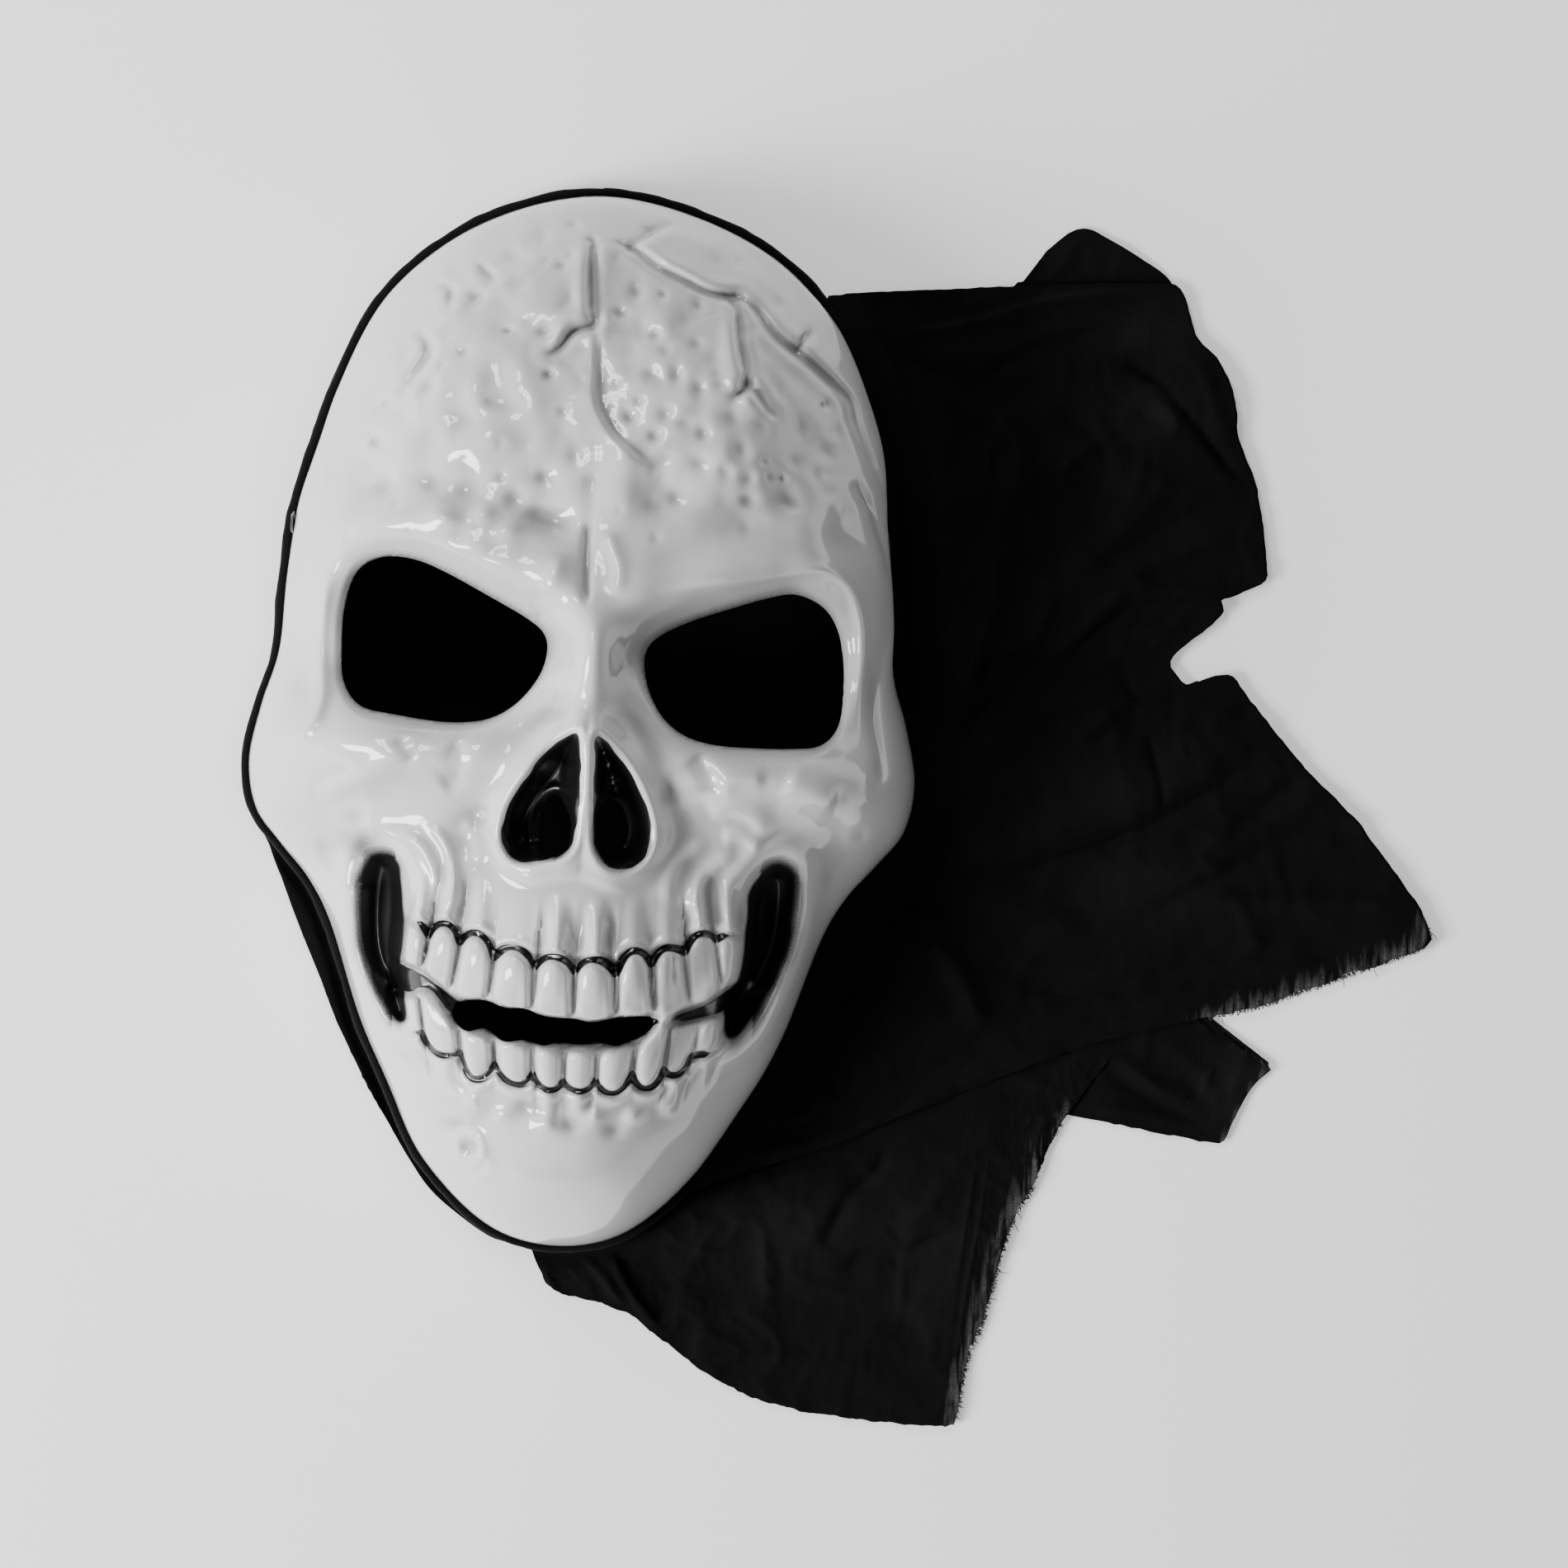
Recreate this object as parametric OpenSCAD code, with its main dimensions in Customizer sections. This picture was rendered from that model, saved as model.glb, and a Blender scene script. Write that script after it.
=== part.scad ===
// Hooded skull mask: a thin moulded plastic face with a black cloth hood joined round its rim.
// It lies face up with the hood spread out to one side. Millimetres, +Y to the crown, +Z out of
// the face, origin on the resting surface below the middle of the face.

/* [Face shell] */
// Width of the face across the cheekbones
mask_w = 192; // [150:1:235]
// Height of the face from chin to crown
mask_h = 302; // [240:1:370]
// Height of the face's dome above its rim
dome_h = 78; // [64:1:94]
// Wall of the moulded plastic
shell_t = 1.2; // [0.8:0.1:2]

/* [Eye, nose and mouth openings] */
// Distance between the middles of the two eye holes
eye_gap = 80; // [74:1:84]
// Scale of each eye hole
eye_scale = 1; // [0.8:0.05:1.1]
// Radius of the breathing holes
nostril_r = 3.8; // [2.5:0.1:4.5]
// Height of the mouth slot
mouth_h = 7; // [4:0.5:9]

/* [Hem and glue] */
// Thickness of the cloth that is turned round the rim, outside the wall
hem_t = 2; // [1.2:0.1:3]
// Height of the hem up the outside of the wall
hem_h = 7; // [5:0.5:8]
// Radius of the glue bead
bead_r = 1; // [0.6:0.1:1.2]

/* [Head strap] */
// Width of the elastic
strap_w = 10; // [6:0.5:11]
// Thickness of the elastic
strap_t = 1.2; // [0.8:0.1:2]
// How far the strap's loop reaches from its rivets
strap_reach = 60; // [48:1:64]
// Height of the rivets above the eyes' middle line
strap_y = 52; // [46:1:58]
// Radius of the rivet's shank
rivet_r = 1.5; // [1:0.1:2]
// Radius of the rivet's heads
rivet_head_r = 3.5; // [3:0.1:4]

/* [Hood] */
// Reach of the hood from its fold to its farthest tip
hood_reach = 146; // [110:1:190]
// Thickness of one laid layer of cloth, with its wrinkles
cloth_t = 1; // [0.8:0.1:1.6]
// Thickness of the upper laid layer, with its folds
front_t = 1.6; // [1:0.1:2.4]
// Lean of the fold line from upright
fold_lean = 7.5; // [0:0.5:9]

/* [Hidden] */

bone = [0.93, 0.93, 0.92];
cloth_black = [0.06, 0.06, 0.065];
cloth_grey = [0.12, 0.12, 0.13];
elastic_black = [0.09, 0.09, 0.10];
rivet_dark = [0.25, 0.25, 0.27];
glue_clear = [0.80, 0.76, 0.62];

// The rim's right half from crown to chin, drawn on a face 192 wide and 302 high
NOMINAL_W = 192;
NOMINAL_H = 302;
NOMINAL_REACH = 146;
HALF_RIM = [[0, 149], [36, 140], [62, 120.5], [76.5, 92], [83.5, 65], [87, 38], [88.5, 16],
    [93, 0], [96, -16], [93.5, -30], [86, -40], [77.5, -50], [70.5, -63], [61, -90],
    [51, -110], [38.5, -131], [20, -148], [0, -153]];
kx = mask_w / NOMINAL_W;
ky = mask_h / NOMINAL_H;
ku = hood_reach / NOMINAL_REACH;

// The closed rim: the right half, then the left half back up to the crown
half_n = len(HALF_RIM);
rim_ctrl = concat(
    [for (p = HALF_RIM) [p[0] * kx, p[1] * ky]],
    [for (i = [half_n - 2 : -1 : 1]) [-HALF_RIM[i][0] * kx, HALF_RIM[i][1] * ky]]);
ctrl_n = len(rim_ctrl);
STEPS = 2;
rim_n = ctrl_n * STEPS;

// Smooth curve through p1 and p2 with neighbours p0 and p3
function spline(p0, p1, p2, p3, t) = 0.5 * (2 * p1 + (p2 - p0) * t
    + (2 * p0 - 5 * p1 + 4 * p2 - p3) * t * t
    + (3 * p1 - p0 - 3 * p2 + p3) * t * t * t);
function ctrl(i) = rim_ctrl[(i + ctrl_n) % ctrl_n];
RIM = [for (i = [0 : ctrl_n - 1], j = [0 : STEPS - 1])
    spline(ctrl(i - 1), ctrl(i), ctrl(i + 1), ctrl(i + 2), j / STEPS)];
function rim(k) = RIM[(k + rim_n) % rim_n];

// Outward direction of the rim's curve, and the rim moved outward by a distance
function unit(v) = v / norm(v);
function rim_normal(k) = let (d = rim(k + 1) - rim(k - 1)) unit([-d[1], d[0]]);
function rim_offset(k, d) = rim(k) + rim_normal(k) * d;
function rim_loop(d) = [for (k = [0 : rim_n - 1]) rim_offset(k, d)];
// Half width of the rim at a height on the right side
function rim_x(y) = lookup(y, [for (k = [0 : rim_n / 2]) [RIM[k][1], RIM[k][0]]]);

// Layers above the resting surface
hem_floor = cloth_t;
hem_gap = 0.1;
// The rim stands inside the hem, this far above the cloth it lies on
rim_lift = 1.5;
rim_z = hem_floor + rim_lift;

// Dome of the face: s runs from 0 in the middle to 1 at the rim
DOME_P = 2.6;
DOME_Q = 2.2;
RING_S = [0, 0.07, 0.14, 0.21, 0.28, 0.35, 0.42, 0.49, 0.56, 0.63, 0.70, 0.77, 0.83, 0.885, 0.93,
    0.965, 0.988, 1];
RINGS = len(RING_S) - 1;
function ring_s(j) = RING_S[j];
function ring_f(j) = pow(1 - pow(ring_s(j), DOME_P), 1 / DOME_Q);

// Relief of the skull as soft bumps on both sides of the face: x, y, spread x, spread y, height
BUMPS = [
    [36, 44, 30, 13, 5],       // brow
    [42, 14, 27, 20, -19],     // eye socket
    [6, 8, 10, 26, 5],         // nose bridge
    [7, -20, 10, 24, 8],       // nose rim
    [10, -30, 8, 12, -14],     // nose recess
    [66, -13, 24, 13, 9],      // cheekbone
    [53, -62, 11, 20, -17],    // cheek hollow
    [16, -80, 26, 24, 6],      // teeth
    [10, -126, 30, 17, 9],     // chin
    [76, 55, 12, 34, -6],      // temple
    [34, 84, 26, 26, 3]        // forehead
];
// The face's features turn a little against the rim: a fall per width, fading to the mouth
FACE_TURN = 0.05;
FACE_SHIFT = 1.5;
function turn(y) = FACE_TURN * max(0, min(1, (y + 60) / 70));
function bump(x, y, b) = b[4] * exp(-pow((x - b[0]) / b[2], 2) - pow((y - b[1]) / b[3], 2));
function relief(x, y) = let (u = (x / kx) - FACE_SHIFT, v = y / ky, w = v + turn(v) * u)
    [for (b = BUMPS) bump(u, w, b) + bump(-u, w, b)] * [for (b = BUMPS) 1];
function shell_point(j, k) = let (s = ring_s(j), p = rim(k) * s)
    [p[0], p[1], rim_z + dome_h * ring_f(j) + relief(p[0], p[1]) * (1 - pow(s, 10))];
function shell_normal(j, k) = j == 0 ? [0, 0, 1]
    : let (a = shell_point(min(j + 1, RINGS), k) - shell_point(j - 1, k),
        b = shell_point(j, k + 1) - shell_point(j, k - 1), n = cross(b, a))
    j == RINGS ? concat(rim_normal(k), 0) : unit(n);
function shell_inner(j, k) = shell_point(j, k) - shell_t * shell_normal(j, k);

// The wall leans in a little above the rim: the share of its half width at a height
lean_share = (1 - ring_s(RINGS - 1)) / (dome_h * ring_f(RINGS - 1));
function wall_share(z) = 1 - lean_share * (z - rim_z);

// Head strap: rivets on one line across the temples
strap_z = rim_z + hem_h + rivet_head_r;
wall_x = rim_x(strap_y * ky) * wall_share(strap_z);
seat_gap = 1.2;
head_gap = 0.5;
washer_t = 0.8;
washer_x = wall_x - shell_t - seat_gap;
strap_play = 0.15;
strap_x = washer_x - washer_t - strap_play;
head_t = 0.8;
running_gap = 0.05;
end_gap = 0.1;
tab_h = 6;
loop_b = strap_reach - tab_h;
LOOP_POWER = 1.5;
LOOP_STEPS = 20;
lay_gap = 0.4;
strap_dip = asin((strap_z - strap_w / 2 - cloth_t - lay_gap) / strap_reach);

// Fold line of the hood: u runs outward from it, v along it
fold_x = mask_w / 2 + hem_t + 6.2;
fold_half_gap = 0.15;
function fold_pt(u, v) = [fold_x + u * cos(fold_lean) + v * sin(fold_lean),
    v * cos(fold_lean) - u * sin(fold_lean)];
// A point of the hood drawn at nominal size, u at least half the gap from the fold
function hood_pt(p) = fold_pt(max(p[0] * ku, fold_half_gap), p[1] * ky);

// Where the cloth's edges cross the fold line, along it
V_TOP = 130;
V_FRONT_END = -118;
V_CHIN = -136;

FRONT_EDGE = [[0, V_TOP], [14, 131], [36, 130], [50, 124], [57, 114], [66, 107], [71, 98],
    [74, 86], [80, 78], [83, 60], [84, 56], [75, 48], [74, 42], [67, 32], [64, 26], [70, 23],
    [80, 26], [86, 22], [98, 12], [120, -5], [136, -19], [145, -30], [146, -36], [146, -42],
    [136, -46], [120, -54], [98, -64], [87, -67], [40, -97], [0, V_FRONT_END]];
REAR_EDGE = [[0, V_TOP - 4], [14, 129], [19, 133], [24, 140], [34, 150], [43, 148], [53, 143],
    [63, 137], [66, 122], [60, 90], [62, 50], [60, 20], [88, -20], [88, -67], [110, -80],
    [105, -90], [99, -102], [96, -104], [78, -104], [58, -104], [50, -96], [0, -100]];
TAIL_EDGE = [[0, -100], [50, -96], [52, -104], [49, -114], [47, -126], [44, -131], [41, -143],
    [39, -166], [37, -175], [37, -185], [36, -196], [20, -203], [0, -208]];
LOWER_LEFT = [[-80, -35], [-60, -60], [-20, -140], [-28, -147], [-38, -140], [-52, -120],
    [-64, -100], [-73, -80], [-80.5, -63], [-86, -50], [-92, -34]];

module face_shell() {
    outer = concat([shell_point(0, 0)],
        [for (j = [1 : RINGS], k = [0 : rim_n - 1]) shell_point(j, k)]);
    inner = concat([shell_inner(0, 0)],
        [for (j = [1 : RINGS], k = [0 : rim_n - 1]) shell_inner(j, k)]);
    base = len(outer);
    color(bone)
    difference() {
        polyhedron(concat(outer, inner), concat(
            dome_faces(0, false),
            dome_faces(base, true),
            [for (k = [0 : rim_n - 1]) each [
                [grid(RINGS, k + 1), grid(RINGS, k), base + grid(RINGS, k)],
                [grid(RINGS, k + 1), base + grid(RINGS, k), base + grid(RINGS, k + 1)]]]));
        for (side = [-1, 1]) {
            eye_cut(side);
            nostril_cut(side);
            rivet_hole(side);
        }
        mouth_cut();
    }
}

// Index of a point of the dome's grid, and the grid's faces seen from above or below
function grid(j, k) = j == 0 ? 0 : 1 + (j - 1) * rim_n + (k % rim_n);
function flip(f, back) = back ? [f[2], f[1], f[0]] : f;
function dome_faces(first, back) = [
    for (j = [0 : RINGS - 1], k = [0 : rim_n - 1]) each
        let (a = first + grid(j, k), b = first + grid(j + 1, k),
            c = first + grid(j + 1, k + 1), d = first + grid(j, k + 1))
        j == 0 ? [flip([a, b, c], back)] : [flip([a, b, c], back), flip([a, c, d], back)]];

// A point of the face moved and turned with its features
function face_pt(x, y) = [(x + FACE_SHIFT) * kx, (y - turn(y) * x) * ky];
cut_top = 140;

// A round post that cuts through the face
module post(x, y, r) {
    p = face_pt(x, y);
    translate([p[0], p[1], 20]) cylinder(h = cut_top, r = r, $fn = 24);
}

// Eye holes: high at the outer corner, slanting down to the nose
module eye_cut(side) {
    m = eye_gap / 2;
    e = eye_scale;
    hull() {
        post(side * (m + 17.5 * e), 12 + 15 * e, 10.5 * e);
        post(side * (m - 21 * e), 12 + 4.5 * e, 6.5 * e);
        post(side * (m - 7 * e), 12 - 8.5 * e, 10.5 * e);
        post(side * (m + 18.5 * e), 12 - 7 * e, 10 * e);
    }
}

module nostril_cut(side) {
    hull() {
        post(side * 9, -27.5, nostril_r);
        post(side * 9, -35.5, nostril_r);
    }
}

// Mouth slot: a shallow curve between the rows of teeth
MOUTH = [[-30, -82], [-20, -83.5], [-8, -85], [6, -86], [18, -85]];
module mouth_cut() {
    for (i = [0 : len(MOUTH) - 2])
        hull() {
            post(MOUTH[i][0], MOUTH[i][1], mouth_h / 2);
            post(MOUTH[i + 1][0], MOUTH[i + 1][1], mouth_h / 2);
        }
}

module rivet_hole(side) {
    translate([side * wall_x, strap_y * ky, strap_z])
        rotate([0, 90, 0]) cylinder(h = 12, r = rivet_r + 0.1, center = true, $fn = 24);
}

// A ring of the rim's shape with one cross-section: points are [outward, up]
module rim_ring(section) {
    m = len(section);
    polyhedron(
        [for (k = [0 : rim_n - 1], q = section) concat(rim_offset(k, q[0]), q[1])],
        [for (k = [0 : rim_n - 1], i = [0 : m - 1]) each
            let (a = k * m + i, b = ((k + 1) % rim_n) * m + i,
                c = ((k + 1) % rim_n) * m + (i + 1) % m, d = k * m + (i + 1) % m)
            [[a, b, c], [a, c, d]]]);
}

// Inner leaf of the hem: its gap to the wall, its thickness, and how far it stops below the outer one
leaf_gap = 0.4;
leaf_t = 1;
leaf_drop = 1.5;

// Edge of the hood, turned round the rim from outside to inside
module rim_hem() {
    leaf_in = shell_t + leaf_gap;
    leaf_top = hem_floor + hem_h - leaf_drop;
    rise = rim_z - hem_gap;
    color(cloth_black)
    rim_ring([
        [hem_gap + hem_t, hem_floor],
        [-leaf_in - leaf_t, hem_floor],
        [-leaf_in - leaf_t, leaf_top],
        [-leaf_in, leaf_top],
        [-leaf_in, rise],
        [hem_gap, rise],
        [hem_gap, hem_floor + hem_h],
        [hem_gap + hem_t, hem_floor + hem_h]]);
}

// Hot glue that holds the hem's inner leaf to the shell, left out beside the strap
module glue_bead() {
    z = hem_floor + hem_h - leaf_drop;
    in = shell_t + leaf_gap + leaf_t * 0.3;
    clear = 22;
    color(glue_clear)
    difference() {
        rim_ring([[-in, z], [-in - bead_r, z], [-in - bead_r * 0.6, z + bead_r], [-in, z + bead_r]]);
        for (side = [-1, 1])
            translate([side * mask_w / 2 - 20, strap_y * ky - tab_h - 5, 0])
                cube([40, tab_h + 5 + clear, 30]);
    }
}

// Back of the hood under the face, with its edge showing past the jaw on the left
module hood_back_panel() {
    color(cloth_grey)
    linear_extrude(cloth_t)
    union() {
        polygon(rim_loop(hem_gap + hem_t + 1));
        polygon([for (p = LOWER_LEFT) [p[0] * kx, p[1] * ky]]);
        polygon(concat(
            [[0, 100 * ky], [66 * kx, 122 * ky]],
            [fold_pt(-fold_half_gap, (V_TOP - 4) * ky), fold_pt(-fold_half_gap, V_CHIN * ky)],
            [[20 * kx, -148 * ky], [0, -100 * ky]]));
    }
}

// Front of the hood between the rim and the fold line
module hood_collar() {
    color(cloth_black)
    translate([0, 0, cloth_t])
    linear_extrude(front_t)
    difference() {
        polygon([[40 * kx, 110 * ky], [66 * kx, 125 * ky], [92 * kx, 128 * ky],
            fold_pt(-fold_half_gap, V_TOP * ky), fold_pt(-fold_half_gap, V_FRONT_END * ky),
            [27 * kx, -140 * ky], [20 * kx, -120 * ky]]);
        polygon(rim_loop(hem_gap + hem_t));
    }
}

// Cloth that comes out from under the chin, up to the fold line
module hood_chin_panel() {
    color(cloth_black)
    linear_extrude(cloth_t)
    difference() {
        polygon([[20 * kx, -148 * ky], fold_pt(-fold_half_gap, V_CHIN * ky),
            fold_pt(-fold_half_gap, -208 * ky), [54 * kx, -196 * ky], [41 * kx, -188 * ky],
            [31 * kx, -181 * ky], [18 * kx, -172 * ky], [0, -168 * ky], [-5 * kx, -165 * ky],
            [-6 * kx, -161 * ky], [-12 * kx, -148 * ky]]);
        polygon(rim_loop(hem_gap + hem_t + 1));
    }
}

module rivet(side) {
    color(rivet_dark)
    translate([0, strap_y * ky, strap_z]) rotate([0, 90 * side, 0])
        rotate_extrude($fn = 32)
            polygon([
                [0, strap_x - strap_t - end_gap - head_t],
                [rivet_head_r * 0.7, strap_x - strap_t - end_gap - head_t],
                [rivet_head_r, strap_x - strap_t - end_gap],
                [rivet_r, strap_x - strap_t - end_gap],
                [rivet_r, wall_x + head_gap],
                [rivet_head_r, wall_x + head_gap],
                [rivet_head_r * 0.7, wall_x + head_gap + head_t],
                [0, wall_x + head_gap + head_t]]);
}
module rivet_left() { rivet(-1); }
module rivet_right() { rivet(1); }

// Washer between the strap's end and the wall
module washer(side) {
    color(rivet_dark)
    translate([side * (washer_x - washer_t / 2), strap_y * ky, strap_z]) rotate([0, 90, 0])
        difference() {
            cylinder(h = washer_t, r = rivet_head_r, center = true, $fn = 48);
            cylinder(h = washer_t + 1, r = rivet_r, center = true, $fn = 48);
        }
}
module washer_left() { washer(-1); }
module washer_right() { washer(1); }

// Half outline of the strap's loop, from the rivet to the middle, on an ellipse-like curve
function loop_pt(a, b, i) = let (s = sin(90 * i / LOOP_STEPS), c = cos(90 * i / LOOP_STEPS))
    [a * pow(c, 2 / LOOP_POWER), tab_h + b * pow(s, 2 / LOOP_POWER)];
function loop_half(a, b, sign) = [for (i = [0 : LOOP_STEPS])
    let (p = loop_pt(a, b, i)) [sign * p[0], p[1]]];
function turned(list) = [for (i = [len(list) - 1 : -1 : 0]) list[i]];

// Elastic band on edge, riveted at both temples, its loop resting on the cloth behind the face
module elastic_strap() {
    inner_x = strap_x - strap_t;
    color(elastic_black)
    translate([0, strap_y * ky, strap_z]) rotate([-strap_dip, 0, 0])
    difference() {
        linear_extrude(strap_w, center = true)
            polygon(concat(
                [[strap_x, -tab_h]], loop_half(strap_x, loop_b, 1),
                turned(loop_half(strap_x, loop_b, -1)), [[-strap_x, -tab_h], [-inner_x, -tab_h]],
                loop_half(inner_x, loop_b - strap_t, -1), turned(loop_half(inner_x, loop_b - strap_t, 1)),
                [[inner_x, -tab_h]]));
        for (side = [-1, 1])
            translate([side * (strap_x - strap_t / 2), 0, 0]) rotate([0, 90, 0])
                cylinder(h = strap_t + 2, r = rivet_r + running_gap, center = true, $fn = 48);
    }
}

module hood_front_panel() {
    color(cloth_black)
    translate([0, 0, cloth_t]) linear_extrude(front_t)
        polygon([for (p = FRONT_EDGE) hood_pt(p)]);
}

module hood_rear_panel() {
    color(cloth_grey)
    linear_extrude(cloth_t)
        polygon([for (p = REAR_EDGE) hood_pt(p)]);
}

module hood_tail_panel() {
    color(cloth_black)
    linear_extrude(cloth_t)
        polygon([for (p = TAIL_EDGE) hood_pt(p)]);
}

face_shell();
rim_hem();
glue_bead();
hood_back_panel();
hood_collar();
hood_chin_panel();
rivet_left();
rivet_right();
washer_left();
washer_right();
elastic_strap();
hood_front_panel();
hood_rear_panel();
hood_tail_panel();
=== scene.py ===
import math

import bpy
import numpy as np
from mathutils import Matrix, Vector


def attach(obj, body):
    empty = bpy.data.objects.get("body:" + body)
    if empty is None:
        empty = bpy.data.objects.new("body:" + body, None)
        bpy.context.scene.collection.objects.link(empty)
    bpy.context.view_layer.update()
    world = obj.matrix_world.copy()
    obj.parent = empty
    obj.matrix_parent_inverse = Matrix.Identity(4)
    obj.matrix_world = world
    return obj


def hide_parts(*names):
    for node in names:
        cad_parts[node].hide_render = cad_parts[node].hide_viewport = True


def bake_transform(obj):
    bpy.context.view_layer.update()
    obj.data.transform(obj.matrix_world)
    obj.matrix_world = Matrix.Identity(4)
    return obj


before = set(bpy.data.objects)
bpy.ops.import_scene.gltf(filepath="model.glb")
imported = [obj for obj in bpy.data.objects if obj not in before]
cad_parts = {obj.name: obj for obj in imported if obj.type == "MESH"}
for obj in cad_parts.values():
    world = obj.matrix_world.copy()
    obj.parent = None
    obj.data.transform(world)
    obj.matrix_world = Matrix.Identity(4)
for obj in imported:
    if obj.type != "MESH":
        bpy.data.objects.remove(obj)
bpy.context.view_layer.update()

MM = 0.001
FACE_CELLS = ((300, 440))
FRONT_CELLS = ((118, 330))
BACK_CELLS = ((200, 200))
TAIL_CELLS = ((92, 250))
HEM_STOPS_PER_POINT = 2
STRAP_STOPS = 360
TIP_THREADS = 420
TAIL_THREADS = 520

# ---------------------------------------------------------------- small numeric tools


def smooth(low, high, value):
    """0 below low, 1 above high, and a smooth step between."""
    t = np.clip((value - low) / (high - low), 0, 1)
    return t * t * (3 - 2 * t)


def spline(points, steps=12, closed=False):
    """A Catmull-Rom curve through 2-D points."""
    p = np.array(points, float)
    if closed:
        p = np.vstack([p[-1], p, p[0], p[1]])
    else:
        p = np.vstack([2 * p[0] - p[1], p, 2 * p[-1] - p[-2]])
    t = np.arange(steps)[:, None] / steps
    out = []
    for a, b, c, d in zip(p[:-3], p[1:-2], p[2:-1], p[3:]):
        out.append(0.5 * (2 * b + (c - a) * t + (2 * a - 5 * b + 4 * c - d) * t**2
                          + (3 * b - a - 3 * c + d) * t**3))
    curve = np.vstack(out)
    return curve if closed else np.vstack([curve, p[-2]])


def along(points, share):
    """Points at shares (0 to 1) of a polyline's length."""
    step = np.hypot(*np.diff(points, axis=0).T)
    at = np.concatenate([[0], np.cumsum(step)])
    want = np.asarray(share) * at[-1]
    return np.stack([np.interp(want, at, points[:, i]) for i in range(points.shape[1])], -1)


def line_distance(x, y, points):
    """Distance to a polyline, the share of its length there, and the side (+1 to its left)."""
    best = np.full(x.shape, 1e9)
    share = np.zeros(x.shape)
    side = np.ones(x.shape)
    points = np.asarray(points, float)
    step = np.hypot(*np.diff(points, axis=0).T)
    at = np.concatenate([[0], np.cumsum(step)])
    for i, (a, b) in enumerate(zip(points[:-1], points[1:])):
        d = b - a
        length = step[i]
        if length < 1e-9:
            continue
        t = np.clip(((x - a[0]) * d[0] + (y - a[1]) * d[1]) / length**2, 0, 1)
        gap = np.hypot(x - a[0] - t * d[0], y - a[1] - t * d[1])
        near = gap < best
        best = np.where(near, gap, best)
        share = np.where(near, (at[i] + t * length) / at[-1], share)
        side = np.where(near, np.sign(d[0] * (y - a[1]) - d[1] * (x - a[0])), side)
    return best, share, side


def inside_distance(x, y, curve):
    """Signed distance to a closed curve, negative inside."""
    closed = np.vstack([curve, curve[:1]])
    gap = line_distance(x, y, closed)[0]
    inside = np.zeros(x.shape, bool)
    for (ax, ay), (bx, by) in zip(closed[:-1], closed[1:]):
        if ay == by:
            continue
        inside ^= ((ay > y) != (by > y)) & (x < (bx - ax) * (y - ay) / (by - ay) + ax)
    return np.where(inside, -gap, gap)


def noise(x, y, size, seed):
    """Smooth value noise from -1 to 1 with cells of the given size."""
    grid = np.random.RandomState(seed).uniform(-1, 1, (64, 64))
    gx, gy = x / size, y / size
    ix, iy = np.floor(gx).astype(int), np.floor(gy).astype(int)
    fx, fy = gx - ix, gy - iy
    fx, fy = fx * fx * (3 - 2 * fx), fy * fy * (3 - 2 * fy)
    c = [grid[(ix + i) % 64, (iy + j) % 64] for i in (0, 1) for j in (0, 1)]
    return (c[0] * (1 - fx) + c[2] * fx) * (1 - fy) + (c[1] * (1 - fx) + c[3] * fx) * fy


def hump(x, y, cx, cy, rx, ry, turn=0.0):
    """A soft bump of height 1 with spreads rx and ry, turned by an angle in degrees."""
    c, s = math.cos(math.radians(turn)), math.sin(math.radians(turn))
    u, v = (x - cx) * c + (y - cy) * s, (y - cy) * c - (x - cx) * s
    return np.exp(-(u / rx) ** 2 - (v / ry) ** 2)


def add_humps(z, x, y, table):
    """Adds a table of soft bumps: x, y, spread x, spread y, turn, height."""
    for cx, cy, rx, ry, turn, high in table:
        z += high * hump(x, y, cx, cy, rx, ry, turn)


def ridge(gap, at, wide, power=2):
    """A rounded ridge of height 1 that runs where a distance equals a value."""
    return np.exp(-(np.abs((gap - at) / wide) ** power))


def unit(vectors):
    """The same directions with length 1."""
    return vectors / (np.linalg.norm(vectors, axis=-1, keepdims=True) + 1e-9)


def to_left(way):
    """Unit vectors to the left of a plan path's directions."""
    return unit(np.stack([-way[:, 1], way[:, 0]], -1))


def round_directions(curve):
    """Directions along a closed curve, from each point's neighbours."""
    return np.roll(curve, -1, 0) - np.roll(curve, 1, 0)


def neighbour_mean(grid):
    """The mean of each grid point's four neighbours."""
    p = np.pad(grid, [(1, 1), (1, 1)] + [(0, 0)] * (grid.ndim - 2), mode="edge")
    return (p[:-2, 1:-1] + p[2:, 1:-1] + p[1:-1, :-2] + p[1:-1, 2:]) / 4


def disc_grid(across, up):
    """A square grid from -1 to 1 in both directions, bent into a round disc."""
    a, b = np.meshgrid(np.linspace(-1, 1, across + 1), np.linspace(-1, 1, up + 1), indexing="ij")
    return a * np.sqrt(1 - b * b / 2), b * np.sqrt(1 - a * a / 2)


def grid_quads(shape, first=0):
    """Vertex numbers of a grid's cells, for vertices numbered row by row."""
    grid = np.arange(shape[0] * shape[1]).reshape(shape) + first
    return np.stack([grid[:-1, :-1], grid[1:, :-1], grid[1:, 1:], grid[:-1, 1:]], -1)


def grid_normals(points):
    """Unit normals of a grid of points."""
    return unit(np.cross(np.gradient(points, axis=0), np.gradient(points, axis=1)))


def ring_faces(rings, sides, closed=False):
    """Faces of a sweep from ring to ring, with a cap at each end unless it closes on itself."""
    faces = []
    for k in range(rings if closed else rings - 1):
        here, there = k * sides, (k + 1) % rings * sides
        for i in range(sides):
            j = (i + 1) % sides
            faces.append([here + i, here + j, there + j, there + i])
    if not closed:
        faces += [list(range(sides))[::-1], [(rings - 1) * sides + i for i in range(sides)]]
    return faces


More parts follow.
